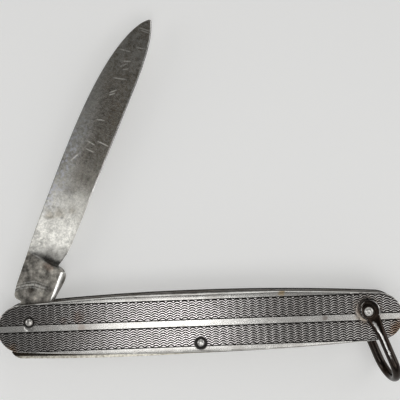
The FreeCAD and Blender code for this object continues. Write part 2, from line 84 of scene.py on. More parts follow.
class Field:
    """A value running through a node tree; arithmetic on it adds the nodes that work it out."""

    def __init__(self, tree: Tree, socket: bpy.types.NodeSocket) -> None:
        """Keeps the tree and the output socket that carries the value."""
        self.tree = tree
        self.socket = socket

    def math(self, operation: str, *others: "Field | float") -> "Field":
        """One math node on this value.

        Args:
            operation: Blender's name of the operation.
            others: The second and third operand, where the operation has them.

        Returns:
            The node's result.
        """
        node = self.tree.nodes.new("ShaderNodeMath")
        node.operation = operation
        for slot, value in zip(node.inputs, (self, *others)):
            feed(slot, value)
        return Field(self.tree, node.outputs[0])

    def __add__(self, other: "Field | float") -> "Field":
        """The sum."""
        return self.math("ADD", other)

    def __sub__(self, other: "Field | float") -> "Field":
        """The difference."""
        return self.math("SUBTRACT", other)

    def __mul__(self, other: "Field | float") -> "Field":
        """The product."""
        return self.math("MULTIPLY", other)

    def __truediv__(self, other: "Field | float") -> "Field":
        """The quotient."""
        return self.math("DIVIDE", other)

    def __rsub__(self, other: float) -> "Field":
        """The difference from a plain number."""
        return (self * -1.0) + other

    __radd__ = __add__
    __rmul__ = __mul__

    def absolute(self) -> "Field":
        """The value without its sign."""
        return self.math("ABSOLUTE")

    def root(self) -> "Field":
        """The square root, zero below zero."""
        return self.most(0.0).math("SQRT")

    def least(self, other: "Field | float") -> "Field":
        """The smaller of two values."""
        return self.math("MINIMUM", other)

    def most(self, other: "Field | float") -> "Field":
        """The larger of two values."""
        return self.math("MAXIMUM", other)

    def held(self, low: "Field | float", high: "Field | float") -> "Field":
        """The value kept between two limits."""
        return self.most(low).least(high)

    def above(self, limit: "Field | float") -> "Field":
        """One where the value is above the limit, else zero."""
        return self.math("GREATER_THAN", limit)

    def ramp(self, low: float, high: float) -> "Field":
        """A smooth rise.

        Args:
            low: Where it leaves zero.
            high: Where it comes to one.

        Returns:
            The share between zero and one.
        """
        node = self.tree.nodes.new("ShaderNodeMapRange")
        node.interpolation_type = "SMOOTHSTEP"
        for slot, value in zip(node.inputs, (self, low, high, 0.0, 1.0)):
            feed(slot, value)
        return Field(self.tree, node.outputs[0])

    def within(self, start: float, full: float, fading: float, gone: float) -> "Field":
        """A smooth rise from start to full, and a smooth fall from fading to gone."""
        return self.ramp(start, full) * (1.0 - self.ramp(fading, gone))


def feed(slot: bpy.types.NodeSocket, value: "Field | float | Vector | tuple") -> None:
    """Gives an input socket its value.

    Args:
        slot: The input socket.
        value: A running value, which is linked, or a constant, which is set.
    """
    if isinstance(value, Field):
        value.tree.links.new(value.socket, slot)
    else:
        slot.default_value = value


def distance(x: Field, y: Field, centre: tuple[float, ...]) -> Field:
    """Distance in the plane from a centre, whose first two coordinates count."""
    off_x, off_y = x - centre[0], y - centre[1]
    return (off_x * off_x + off_y * off_y).root()


class Graph:
    """A node tree with short ways to add the nodes that this scene uses."""

    def __init__(self, tree: Tree) -> None:
        """Keeps the tree."""
        self.tree = tree

    def node(self, kind: str, inputs: dict | None = None, **settings: object) -> Node:
        """A new node.

        Args:
            kind: Blender's name of the node type.
            inputs: Values of its inputs by name or number.
            settings: Properties of the node.

        Returns:
            The node.
        """
        made = self.tree.nodes.new(kind)
        for name, value in settings.items():
            setattr(made, name, value)
        for name, value in (inputs or {}).items():
            feed(made.inputs[name], value)
        return made

    def value(self, kind: str, inputs: dict | None = None, output: int | str = 0, **settings: object) -> Field:
        """One output of a new node, with the arguments of node()."""
        return Field(self.tree, self.node(kind, inputs, **settings).outputs[output])

    def group(self, tree: Tree, **inputs: object) -> dict[str, Field]:
        """The outputs by name of a node that uses a shared group, with its inputs by name."""
        made = self.node("ShaderNodeGroup", inputs, node_tree=tree)
        return {output.name: Field(self.tree, output) for output in made.outputs}

    def attribute(self, name: str) -> Field:
        """A float attribute of the mesh, inside a geometry tree."""
        return self.value("GeometryNodeInputNamedAttribute", {"Name": name}, data_type="FLOAT")

    def mark(self, name: str, output: str = "Fac") -> Field:
        """An attribute of the mesh, inside a shader tree."""
        return self.value("ShaderNodeAttribute", output=output, attribute_name=name)

    def noise(self, spot: Field, scale: float, detail: float, **inputs: float) -> Field:
        """A noise with features of 1 / scale, its detail and its further inputs by name."""
        return self.value("ShaderNodeTexNoise", {"Vector": spot, "Scale": scale, "Detail": detail, **inputs})

    def axes(self, spot: Field) -> list[Field]:
        """The three coordinates of a vector."""
        split = self.node("ShaderNodeSeparateXYZ", {0: spot})
        return [Field(self.tree, output) for output in split.outputs]

    def vector(self, *parts: Field) -> Field:
        """Three values as one vector."""
        return self.value("ShaderNodeCombineXYZ", dict(enumerate(parts)))

    def joined(self, operation: str, first: Field, second: Field, output: int | str = 0) -> Field:
        """Two vectors put together by an operation of Blender's vector math."""
        return self.value("ShaderNodeVectorMath", {0: first, 1: second}, output, operation=operation)

    def turned(self, spot: Field, angle: Field) -> Field:
        """A vector turned about Z."""
        return self.value("ShaderNodeVectorRotate", {"Vector": spot, "Angle": angle}, rotation_type="Z_AXIS")

    def mix(self, share: Field | float, low: Field | tuple, high: Field | tuple, blend: str = "MIX") -> Field:
        """Two colours mixed by a share."""
        settings = {"data_type": "RGBA", "blend_type": blend}
        return self.value("ShaderNodeMix", {0: share, 6: low, 7: high}, output=2, **settings)


Opened = tuple[Graph, dict[str, Field], Node]


def new_group(name: str, kind: str, inputs: dict[str, Socket], outputs: dict[str, Socket]) -> Opened:
    """A new node group.

    Args:
        name: Name of the group.
        kind: Blender's name of the tree type.
        inputs: Kind of each input, by name.
        outputs: Kind of each output, by name.

    Returns:
        The graph, its inputs by name and its output node.
    """
    tree = bpy.data.node_groups.new(name, kind)
    for way, sockets in (("INPUT", inputs), ("OUTPUT", outputs)):
        for label, socket in sockets.items():
            tree.interface.new_socket(label, in_out=way, socket_type=socket.value)
    graph = Graph(tree)
    given = graph.node("NodeGroupInput")
    return graph, {label: Field(tree, given.outputs[label]) for label in inputs}, graph.node("NodeGroupOutput")


def geometry_group(name: str, sizes: dict[str, Socket]) -> Opened:
    """A new_group with a mesh going in and out and a material, besides the sizes given."""
    mesh = {"Geometry": Socket.GEOMETRY}
    return new_group(name, "GeometryNodeTree", {**mesh, **sizes, "Material": Socket.MATERIAL}, mesh)


def mask_group(name: str, vectors: tuple[str, ...], floats: tuple[str, ...]) -> Opened:
    """A new_group that draws a mask from inputs that are vectors and inputs that are floats."""
    inputs = dict.fromkeys(vectors, Socket.VECTOR) | dict.fromkeys(floats, Socket.FLOAT)
    return new_group(name, "ShaderNodeTree", inputs, {"Mask": Socket.FLOAT})


def close_geometry(graph: Graph, shape: Field, material: Field, out: Node) -> None:
    """Ends a geometry tree: merged, smooth, realised and with its material.

    Args:
        graph: The tree.
        shape: The mesh made so far.
        material: The material input.
        out: The tree's output node.
    """
    steps = (
        ("GeometryNodeMergeByDistance", {"Distance": MERGE_REACH}),
        ("GeometryNodeSetShadeSmooth", {}),
        ("GeometryNodeRealizeInstances", {}),
        ("GeometryNodeSetMaterial", {"Material": material}),
    )
    for kind, inputs in steps:
        shape = graph.value(kind, {0: shape, **inputs})
    feed(out.inputs[0], shape)


def settle(piece: Piece) -> None:
    """Applies a piece's modifiers by replacing its mesh.

    Args:
        piece: The mesh object.
    """
    bpy.context.view_layer.update()
    old = piece.data
    made = bpy.data.meshes.new_from_object(piece.evaluated_get(bpy.context.evaluated_depsgraph_get()))
    piece.modifiers.clear()
    piece.data = made
    made.name = piece.name
    bpy.data.meshes.remove(old)


def run_tree(blank: Piece, tree: Tree, inputs: dict[str, object], spent: tuple[str, ...]) -> Piece:
    """Turns a blank into a plain mesh through a geometry tree.

    Args:
        blank: Object that the tree works on; its mesh is replaced.
        tree: The geometry tree.
        inputs: Values of the tree's inputs by name.
        spent: Attributes of the blank that only the tree needs.

    Returns:
        The same object with the finished mesh.
    """
    modifier = blank.modifiers.new(tree.name, "NODES")
    modifier.node_group = tree
    for item in tree.interface.items_tree:
        if item.in_out == "INPUT" and item.name in inputs:
            modifier[item.identifier] = inputs[item.name]
    settle(blank)
    for label in spent:
        blank.data.attributes.remove(blank.data.attributes[label])
    return blank


def added(name: str, data: bpy.types.ID) -> Piece:
    """A new object in the scene.

    Args:
        name: Name of the object.
        data: Its mesh, lamp or camera.

    Returns:
        The object.
    """
    made = bpy.data.objects.new(name, data)
    bpy.context.scene.collection.objects.link(made)
    return made


def lattice(name: str, points: Array, attributes: dict[str, Array]) -> Piece:
    """A mesh of quads on a lattice of points whose rows close on themselves.

    Args:
        name: Name of the new object.
        points: Columns by rows by three coordinates.
        attributes: Attributes as one number for each row, or as one number or vector for each point.

    Returns:
        The object, linked to the scene.
    """
    columns, rows, _ = points.shape
    number = np.arange(columns * rows).reshape(columns, rows)
    here, there = number[:-1], number[1:]
    quads = np.stack([here, there, np.roll(there, -1, axis=1), np.roll(here, -1, axis=1)], axis=-1)
    mesh = bpy.data.meshes.new(name)
    mesh.from_pydata(points.reshape(-1, 3).tolist(), [], quads.reshape(-1, 4).tolist())
    for label, values in attributes.items():
        kind, key = ("FLOAT_VECTOR", "vector") if values.ndim == 3 else ("FLOAT", "value")
        spread = values if values.ndim == 3 else np.broadcast_to(values, (columns, rows))
        layer = mesh.attributes.new(label, kind, "POINT")
        layer.data.foreach_set(key, np.ascontiguousarray(spread, dtype=np.float32).reshape(-1))
    return added(name, mesh)


def unit(values: Array) -> Array:
    """Values kept between zero and one."""
    return np.clip(values, 0.0, 1.0)


def placed(along: Array, across: Array, out: Array, origin: Place, turn: float) -> Array:
    """Points of a frame that is turned about Z.

    Args:
        along: First coordinates in the frame, in millimetres.
        across: Second coordinates.
        out: Third coordinates.
        origin: The frame's origin.
        turn: The frame's angle in degrees.

    Returns:
        The points in metres, their three coordinates last.
    """
    cosine, sine = math.cos(math.radians(turn)), math.sin(math.radians(turn))
    x = origin[0] + along * cosine - across * sine
    y = origin[1] + along * sine + across * cosine
    return np.stack([x, y, origin[2] + out], axis=-1) * MM


def tidy_mesh(piece: Piece, sharp_angle: float) -> None:
    """Merges doubles, turns faces outwards and shades smooth up to an angle.

    Args:
        piece: The mesh object.
        sharp_angle: Angle in degrees above which an edge stays sharp.
    """
    work = bmesh.new()
    work.from_mesh(piece.data)
    bmesh.ops.remove_doubles(work, verts=work.verts, dist=MERGE_REACH)
    bmesh.ops.dissolve_degenerate(work, edges=work.edges, dist=MERGE_REACH / 2)
    bmesh.ops.recalc_face_normals(work, faces=work.faces)
    work.to_mesh(piece.data)
    work.free()
    piece.data.shade_smooth()
    piece.data.set_sharp_from_angle(angle=math.radians(sharp_angle))


def bore(piece: Piece, centre: Place, radius: float, reach: float, sharp_angle: float) -> None:
    """Cuts a round hole along Z right through a piece, and leaves its mesh tidy.

    Args:
        piece: The mesh object.
        centre: A point on the hole's axis, in millimetres.
        radius: Radius of the hole.
        reach: Half the cutter's length.
        sharp_angle: Angle in degrees above which an edge stays sharp.
    """
    tidy_mesh(piece, sharp_angle)
    work = bmesh.new()
    sizes = {"radius1": radius * MM, "radius2": radius * MM, "depth": 2 * reach * MM}
    bmesh.ops.create_cone(work, cap_ends=True, segments=48, **sizes)
    bmesh.ops.translate(work, verts=work.verts, vec=Vector(centre) * MM)
    mesh = bpy.data.meshes.new("drill")
    work.to_mesh(mesh)
    work.free()
    drill = added("drill", mesh)
    cut = piece.modifiers.new("bore", "BOOLEAN")
    cut.operation = "DIFFERENCE"
    cut.solver = "EXACT"
    cut.object = drill
    settle(piece)
    bpy.data.objects.remove(drill)
    tidy_mesh(piece, sharp_angle)


def chamfered(node: Piece, name: str, width: float) -> Piece:
    """A copy of a CAD node with its sharp edges broken.

    Args:
        node: The CAD node.
        name: Name of the new piece.
        width: Width of the chamfer in millimetres.

    Returns:
        The piece.
    """
    sharp_angle, least_corner = 30.0, 40.0
    piece = added(name, node.data.copy())
    tidy_mesh(piece, sharp_angle)
    cut = piece.modifiers.new("chamfer", "BEVEL")
    cut.limit_method = "ANGLE"
    cut.angle_limit = math.radians(least_corner)
    cut.width = width * MM
    cut.segments = 2
    settle(piece)
    tidy_mesh(piece, sharp_angle)
    return piece


def dress(piece: Piece, material: Material, body: str, slot: str, *nodes: str) -> None:
    """Gives a piece its material and body, and lets it stand for its CAD nodes.

    Args:
        piece: The finished mesh object.
        material: Its finish.
        body: The CAD body that it rides on.
        slot: Not used.
        nodes: CAD nodes that it replaces.
    """
    piece.data.materials.clear()
    piece.data.materials.append(material)
    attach(piece, body)
    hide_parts(*nodes)
    LOG.info("%s: %d faces", piece.name, len(piece.data.polygons))


@dataclass(frozen=True)
class Outline:
    """The handle's outline: two long arcs that run into round noses, in millimetres."""

    length: float = 80.8
    height: float = 12.0
    nose: float = 4.7

    @property
    def nose_x(self) -> float:
        """Distance of a nose's centre from the middle."""
        return self.length / 2 - self.nose

    @property
    def long_radius(self) -> float:
        """Radius of the long arcs."""
        half = self.height / 2
        return (self.nose_x**2 + half**2 - self.nose**2) / (2 * (half - self.nose))

    @property
    def tangent_x(self) -> float:
        """Distance from the middle at which a long arc runs into a nose."""
        return self.nose_x * self.long_radius / (self.long_radius - self.nose)


@dataclass(frozen=True)
class Seat:
    """A round hollow for a pin or a washer: its radius, its depth and the width of its rounding."""

    radius: float
    depth: float
    rounding: float


ROW_FACTS = ("place", "low", "high", "wave", "rim", "half", "foot")
NO_RIM = -1.0


@dataclass
class StampedScale:
    """A stamped cover plate: engine-turned panels, plain band, ruled lines, sloping borders and dimples."""

    side: Side
    outline: Outline = Outline()
    thickness: float = 1.2
    handle_thickness: float = 6.0
    band_row: float = 0.3
    band_half: float = 0.7
    border: float = 4.6
    line_half: float = 0.13
    line_depth: float = 0.14
    slope_width: float = 0.85
    slope_drop: float = 0.09
    edge_width: float = 0.44
    edge_drop: float = 0.5
    rim: float = 0.4
    border_end: float = 31.7
    border_lift: float = 0.8
    wave_length: float = 1.486
    wave_height: float = 0.38
    wave_pitch: float = 0.472
    wave_depth: float = 0.045
    groove_powers: Pair = (1.3, 0.9)
    columns_per_wave: int = 10
    nose_columns: int = 40
    groove_shares: tuple[float, ...] = (-0.5, -0.33, -0.17, 0.0, 0.17, 0.33)
    rim_shares: tuple[float, ...] = (0.0, 0.08, 0.3, 0.62, 1.0)
    rim_clean: Pair = (0.05, 0.7)
    # Start depth, run and strength of the soiling and painted shade on the outer edge and walls.
    edge_dirt_and_shade: Triple = (0.12, 0.4, 0.45)
    dimple: Seat = Seat(1.2, 0.32, 0.35)
    bail_seat: Seat = Seat(2.35, 0.06, 0.05)
    sharp_angle: float = 35.0

    def columns(self) -> Array:
        """Places of the lattice's columns along the handle.

        Returns:
            The places in millimetres.
        """
        straight = self.outline.tangent_x
        step = self.wave_length / self.columns_per_wave
        middle = np.arange(math.ceil(-straight / step), math.floor(straight / step) + 1) * step
        start = math.asin((straight - self.outline.nose_x) / self.outline.nose)
        turns = np.linspace(start, math.pi / 2, self.nose_columns)
        nose = self.outline.nose_x + self.outline.nose * np.sin(turns)
        return np.concatenate([-nose[::-1], middle, nose])

    def half_rows(self) -> list[tuple[float, float, float, float, float]]:
        """The lattice's rows on one half, from the band outwards.

        Returns:
            Rows as (place, low, high, wave, rim), the rim as a depth from the outline.
        """
        line = self.line_half
        low = self.band_half + line
        high = self.border - line
        slope = self.border + line
        knee = slope + self.slope_width
        band = (self.band_row, self.band_half - line, self.band_half)
        border = (self.border, slope, (slope + knee) / 2, knee - line, knee + line)
        count = math.ceil((high - low + self.wave_height) / self.wave_pitch)
        grooves = [row + share for row in range(-1, count + 1) for share in self.groove_shares]
        return [
            *((y, y, y, 0.0, NO_RIM) for y in band),
            *((low + groove * self.wave_pitch, low, high, 1.0, NO_RIM) for groove in grooves),
            *((y, y, y, 0.0, NO_RIM) for y in border),
            *((0.0, 0.0, 0.0, 0.0, self.rim * share) for share in reversed(self.rim_shares)),
        ]

    def blank(self, name: str) -> Piece:
        """The flat lattice that the stamp shapes, with its rows' facts as attributes.

        Args:
            name: Name of the piece.

        Returns:
            The blank.
        """
        upper = [(*row, 1.0, 0.0) for row in self.half_rows()]
        lower = [(*row, -1.0, 0.0) for row in self.half_rows()]
        wall = (0.0, 0.0, 0.0, 0.0, 0.0)
        ring = [(*wall, -1.0, 1.0), *reversed(lower), *upper, (*wall, 1.0, 1.0)]
        columns = self.columns()
        points = np.zeros((len(columns), len(ring), 3))
        points[:, :, 0] = columns[:, None]
        points[:, :, 1] = np.linspace(0.0, 1.0, len(ring))[None, :]
        return lattice(name, points, dict(zip(ROW_FACTS, np.array(ring).T)))

    def stamp(self) -> Tree:
        """The geometry tree that places the rows along the waves and presses in the relief.

        Returns:
            The tree.
        """
        near, touching = -0.01, -0.0001
        sizes = dict.fromkeys(("Wave Length", "Wave Height", "Wave Pitch", "Wave Depth", "Side"), Socket.FLOAT)
        graph, size, end = geometry_group("engine_turned_stamp", sizes)
        shape = self.outline
        x = graph.axes(graph.value("GeometryNodeInputPosition"))[0]
        place, low, high, waved, rim, half, foot = (graph.attribute(name) for name in ROW_FACTS)

        reach = x.absolute()
        centre = shape.long_radius - shape.height / 2
        long_half = (shape.long_radius**2 - x * x).root() - centre
        nose_half = (shape.nose**2 - (reach - shape.nose_x) * (reach - shape.nose_x)).root()
        in_nose = reach.above(shape.tangent_x)
        edge = long_half + (nose_half - long_half) * in_nose

        arch = (x * math.pi / size["Wave Length"]).math("COSINE").absolute() * size["Wave Height"]
        upright = (half + 1.0) * 0.5
        panel_low = self.band_half + self.line_half
        panel_high = self.border - self.line_half
        rise = arch * upright + (size["Wave Height"] - arch) * (1.0 - upright)
        ended = (x - self.border_end).above(0.0) * upright
        lift = ended * self.border_lift
        on_border = (place - self.border).above(near) * (1.0 - waved)
        lowest = low + lift * on_border
        highest = high + lift * waved.most(on_border)
        inner = (place + rise * waved + lift * on_border).held(lowest, highest)
        inner = inner.least((edge - self.rim).most(0.0))
        on_rim = rim.above(NO_RIM / 2)
        spread = inner + ((edge - rim).most(0.0) - inner) * on_rim
        y = spread * half

        out = y.absolute()
        across = ((out - self.border - self.line_half) / self.slope_width).held(0.0, 1.0)
        knee = self.border + self.line_half + self.slope_width
        over = ((out - knee) / self.edge_width).held(0.0, 1.0)
        slope = (across * across * self.slope_drop + over * self.edge_drop) * (1.0 - ended)
        border_line = (1.0 - (out - self.border).absolute() / self.line_half).most(0.0) * (1.0 - ended)
        ruled = (1.0 - (out - self.band_half).absolute() / self.line_half).most(border_line)
        inside = (out - panel_low).above(touching) * (lift + panel_high - out).above(touching)
        phase = (y * half - rise - panel_low) / size["Wave Pitch"]
        cusp = 1.0 - arch / size["Wave Height"]
        ridge = ((phase * 2.0 * math.pi).math("COSINE") + 1.0) * 0.5
        power, cusp_power = self.groove_powers
        cut = ridge.math("POWER", power + cusp * cusp * cusp_power) * inside
        drop = slope + ruled * self.line_depth + cut * size["Wave Depth"]

        far = (reach - shape.nose_x).most(0.0)
        nose_gap = shape.nose - (far * far + y * y).root()
        long_gap = shape.long_radius - ((out + centre) * (out + centre) + x * x).root()
        gap = (long_gap + (nose_gap - long_gap) * in_nose).held(0.0, self.rim)
        short = self.rim - gap
        drop = drop.most(self.rim - (self.rim**2 - short * short).root())
        dark = ruled.most(cut) * gap.ramp(*(self.rim * share for share in self.rim_clean))
        for pin, seat in ((MAIN_PIN, self.dimple), (SPRING_PIN, self.dimple), (BAIL_PIN, self.bail_seat)):
            bowl = (seat.radius - distance(x, y, pin)).ramp(0.0, seat.rounding)
            drop = drop * (1.0 - bowl) + bowl * seat.depth
            dark = dark * (1.0 - bowl)
        drop = drop * (1.0 - foot) + foot * self.thickness
        # Soiling and painted shade: the deeper a point lies below the top, on the outer edge, rim and side
        # walls, the darker it is marked.
        dirt_and_shade_start, dirt_and_shade_run, dirt_and_shade = self.edge_dirt_and_shade
        dark = dark.most((drop - dirt_and_shade_start).ramp(0.0, dirt_and_shade_run) * dirt_and_shade)
        z = (self.handle_thickness / 2 - drop) * size["Side"] + self.handle_thickness / 2
        marked = size["Geometry"]
        # The cut attribute holds the soiling in the grooves and ruled lines and the painted shade on the edge
        # and walls.
        for label, value in (("cut", dark), ("panel", inside)):
            inputs = {"Geometry": marked, "Name": label, "Value": value}
            marked = graph.value("GeometryNodeStoreNamedAttribute", inputs, data_type="FLOAT", domain="POINT")
        spot = graph.vector(x * MM, y * MM, z * MM)
        stored = graph.value("GeometryNodeSetPosition", {"Geometry": marked, "Position": spot})
        close_geometry(graph, stored, size["Material"], end)
        return graph.tree

    def build(self, name: str, material: Material) -> Piece:
        """The finished plate.

        Args:
            name: Name of the piece.
            material: Its finish.

        Returns:
            The piece.
        """
        tree = bpy.data.node_groups.get("engine_turned_stamp") or self.stamp()
        inputs = {
            "Wave Length": self.wave_length,
            "Wave Height": self.wave_height,
            "Wave Pitch": self.wave_pitch,
            "Wave Depth": self.wave_depth,
            "Side": float(self.side.value),
            "Material": material,
        }
        piece = run_tree(self.blank(name), tree, inputs, ROW_FACTS)
        tidy_mesh(piece, self.sharp_angle)
        return piece


@dataclass
class Blade:
    """The ground blade with its tang, in its own frame: pivot at the origin, u to the point, v to the spine."""

    pivot: Place = MAIN_PIN
    opened: float = 67.4
    thickness: float = 2.4
    cam: float = 4.34
    seat: float = 3.3
    length: float = 65.42
    point_v: float = -1.15
    crest: float = 5.77
    crest_place: float = 22.0
    spine_powers: Pair = (3.43, 0.644)
    belly_powers: Pair = (3.18, 0.85)
    plunge_place: float = 11.95
    plunge_lean: float = 0.2
    plunge_run: float = 1.7
    bevel_line: float = -2.25
    bevel_drop: float = 0.75
    bevel_curve: Pair = (0.35, 0.65)
    bevel_start: float = 2.6
    honed: float = 0.26
    honed_start: float = 13.0
    keen_half: float = 0.015
    edge_half: float = 0.11
    taper: float = 0.45
    taper_start: float = 12.2
    back_power: float = 0.8
    spine_round: float = 0.16
    spine_trim: float = 0.8
    hole: float = 0.73
    nick: tuple[float, float, float, float, float] = (21.8, 4.37, 8.5, 1.1, 0.45)
    cam_columns: int = 26
    point_columns: int = 60
    runs: tuple[tuple[float, float, int], ...] = (
        (0.2, 3.0, 12), (3.08, 3.9, 16), (4.1, 10.9, 46), (11.0, 15.0, 66), (15.2, 52.0, 150),
    )
    round_shares: tuple[float, ...] = (0.0, 0.004, 0.011, 0.02, 0.032)
    upper_start: float = 0.05
    upper_rows: int = 44
    lower_rows: int = 7
    split_place: float = 12.0
    hair: float = 0.02
    # Where the plunge's soiling and painted shadow lie.
    grime_and_shade_top: Pair = (5.2, 3.5)
    grime_and_shade_lead: Pair = (0.1, 0.35)
    grime_and_shade_run: Pair = (2.0, 2.8)
    bevel_shown: Pair = (5.0, 11.4)
    bevel_shine: Pair = (1.3, 1.5)
    honed_shine: Triple = (24.0, 6.0, 0.9)
    drill_reach: float = 6.0
    sharp_angle: float = 28.0
    spine_line: tuple[Pair, ...] = (
        (3.08, 3.3), (3.16, 3.9), (3.24, 4.45), (3.45, 4.76), (3.85, 5.0), (4.6, 5.17),
        (5.6, 5.31), (12.2, 5.5), (14.3, 5.62), (17.7, 5.73), (22.0, 5.77),
    )
    edge_line: tuple[Pair, ...] = (
        (2.6, -3.3), (4.8, -2.6), (9.2, -3.27), (9.6, -3.3), (10.3, -3.3), (10.75, -3.2), (11.2, -2.86),
        (11.65, -2.25), (11.95, -1.55), (12.1, -1.05), (12.5, -1.12), (13.4, -1.45), (15.0, -1.85),
        (17.0, -2.1), (52.1, -2.93),
    )

    def columns(self) -> Array:
        """Places of the lattice's columns along the blade, closer where the outline turns.

        Returns:
            The places in millimetres.
        """
        first_turn, quarter, last = 0.02, math.pi / 2, self.runs[-1][1]
        cam = -self.cam * np.cos(np.linspace(0.0, quarter, self.cam_columns))
        point = last + (self.length - last) * np.sin(np.linspace(first_turn, quarter, self.point_columns))
        return np.concatenate([cam, *(np.linspace(*run) for run in self.runs), point])

    def fall(self, u: Array, start: float, level: float, powers: Pair) -> Array:
        """A curve that runs into the blade's point.

        Args:
            u: Places along the blade.
            start: Where the curve begins.
            level: Its distance from the pivot's line there.
            powers: Powers that shape it.

        Returns:
            Its distances from the pivot's line.
        """
        share = unit((u - start) / (self.length - start))
        return self.point_v + (level - self.point_v) * (1.0 - share ** powers[0]) ** powers[1]

    def outline(self, u: Array) -> tuple[Array, Array]:
        """Spine and edge at places along the blade.

        Args:
            u: The places.

        Returns:
            The spine's and the edge's distances from the pivot's line.
        """
        cam = np.sqrt(np.maximum(self.cam**2 - u**2, 0.0))
        tang = np.where(u < 0.0, np.minimum(cam, self.seat), self.seat)
        belly_u, belly_v = self.edge_line[-1]
        spine = np.where(u < self.spine_line[0][0], tang, np.interp(u, *np.array(self.spine_line).T))
        edge = np.where(u < self.edge_line[0][0], -tang, np.interp(u, *np.array(self.edge_line).T))
        fall = self.fall(u, self.crest_place, self.crest, self.spine_powers)
        belly = self.fall(u, belly_u, belly_v, self.belly_powers)
        return np.where(u > self.crest_place, fall, spine), np.where(u > belly_u, belly, edge)

    def plunge(self, v: Array) -> Array:
        """Where the grind starts, at places across the blade."""
        return self.plunge_place + self.plunge_lean * np.maximum(v, 0.0)

    def half_thickness(self, u: Array, v: Array, spine: Array, edge: Array) -> Array:
        """Half the thickness of the blade at points of its side.

        Args:
            u: Place along the blade.
            v: Place across it.
            spine: The spine at u.
            edge: The edge at u.

        Returns:
            The distance of the side's surface from the middle plane.
        """
        full = self.thickness / 2
        worn = 1.0 - self.taper * unit((u - self.taper_start) / (self.length - self.taper_start))
        high = (spine - self.point_v) / (self.crest - self.point_v)
        back = self.edge_half + (full - self.edge_half) * unit(high) ** self.back_power * worn
        share = unit((v - edge) / np.maximum(spine - edge, 1e-6))
        ground = self.edge_half + (back - self.edge_half) * share
        keen = self.keen_half + unit((v - edge) / self.honed) * (ground - self.keen_half)
        ground = np.where(u > self.honed_start, np.minimum(ground, keen), ground)
        start = self.plunge(v)
        s = unit((u - start) / self.plunge_run)
        left = 1.0 - np.sqrt(1.0 - (1.0 - s) ** 2)
        slope = unit((self.bevel_line - v) / (self.bevel_line + self.seat))
        straight, curved = self.bevel_curve
        tang = full - self.bevel_drop * (straight * slope + curved * slope**2) * (u > self.bevel_start)
        side = np.where(u < start, tang, ground + (np.maximum(tang, ground) - ground) * left)
        round_in = unit(1.0 - (spine - v) / self.spine_round)
        trim = self.spine_round * (1.0 - np.sqrt(1.0 - round_in**2)) * self.spine_trim
        return np.maximum(side - np.minimum(trim, 0.5 * side), 0.0)

    def nick_depth(self, u: Array, v: Array) -> Array:
        """Depth of the nail nick at points of the rear side.

        Args:
            u: Place along the blade.
            v: Place across it.

        Returns:
            The depths.
        """
        place, wall, length, width, depth = self.nick
        along = unit(1.0 - ((u - place) / (length / 2)) ** 2)
        across = unit((v - (wall - width)) / width) * (v < wall)
        return np.maximum(depth * along - depth * (1.0 - across), 0.0) * (across > 0.0)

    def facts(self, u: Array, v: Array, w: Array, edge: Array) -> dict[str, Array]:
        """What the finish has to know at each point.

        Args:
            u: Place along the blade.
            v: Place across it.
            w: Place through it.
            edge: The edge at u.

        Returns:
            The place, the soiling and painted shadow at the plunge, and the shine and painted highlight of the
            kick bevel and the honed edge, as attributes.
        """
        # Painted shadow along the plunge, partly soiling, deepest towards the edge.
        (top, fall), (lead, rise), (run, deep_run) = self.grime_and_shade_top, self.grime_and_shade_lead, self.grime_and_shade_run
        deep = unit((top - v) / fall)
        past = u - self.plunge(v) - lead
        near = np.where(past < 0.0, 1.0 + past / rise, 1.0 - past / (run + deep_run * deep))
        # Painted highlight on the kick bevel and the honed edge, partly real shine.
        first, last = self.bevel_shown
        bevelled = (u > first) & (u < last) & (v < self.bevel_line + self.hair)
        level, steep = self.bevel_shine
        bevel = unit(level + (v - self.bevel_line) * steep)
        start, length, most = self.honed_shine
        honed = np.clip((u - start) / length, 0.0, most) * (v < edge + self.honed)
        return {
            "place": np.stack([u, v, w], axis=-1),
            "grime_and_shade": unit(near) * deep,
            "polish_and_highlight": np.where(bevelled, bevel, honed),
        }

    def build(self, name: str) -> Piece:
        """The finished blade.

        Args:
            name: Name of the piece.

        Returns:
            The piece, with its place in the blade's frame, the plunge's soiling and painted shadow, and the
            painted highlights of its bevel and edge as attributes.
        """
        u = self.columns()
        spine, edge = self.outline(u)
        split = np.where(u < self.split_place, np.maximum(self.bevel_line, edge + self.hair), edge + self.honed)
        split = np.minimum(split, spine - 0.5 * (spine - edge))
        u, spine, edge, split = (line[:, None] for line in (u, spine, edge, split))
        upper = np.concatenate([self.round_shares, np.linspace(self.upper_start, 1.0, self.upper_rows)])
        lower = np.linspace(0.0, 1.0, self.lower_rows + 1)[1:]
        v = np.concatenate([spine + (split - spine) * upper, split + (edge - split) * lower], axis=1)
        along = np.broadcast_to(u, v.shape)
        w = self.half_thickness(along, v, spine, edge)
        w[-1] = 0.0
        v[-1] = self.point_v
        rear = -(w - self.nick_depth(along, v))
        sides = ((along, along), (v, v), (w, rear))
        ring = [np.concatenate([front, back[:, ::-1]], axis=1) for front, back in sides]
        piece = lattice(name, placed(*ring, self.pivot, self.opened), self.facts(*ring, edge))
        bore(piece, self.pivot, self.hole, self.drill_reach, self.sharp_angle)
        return piece


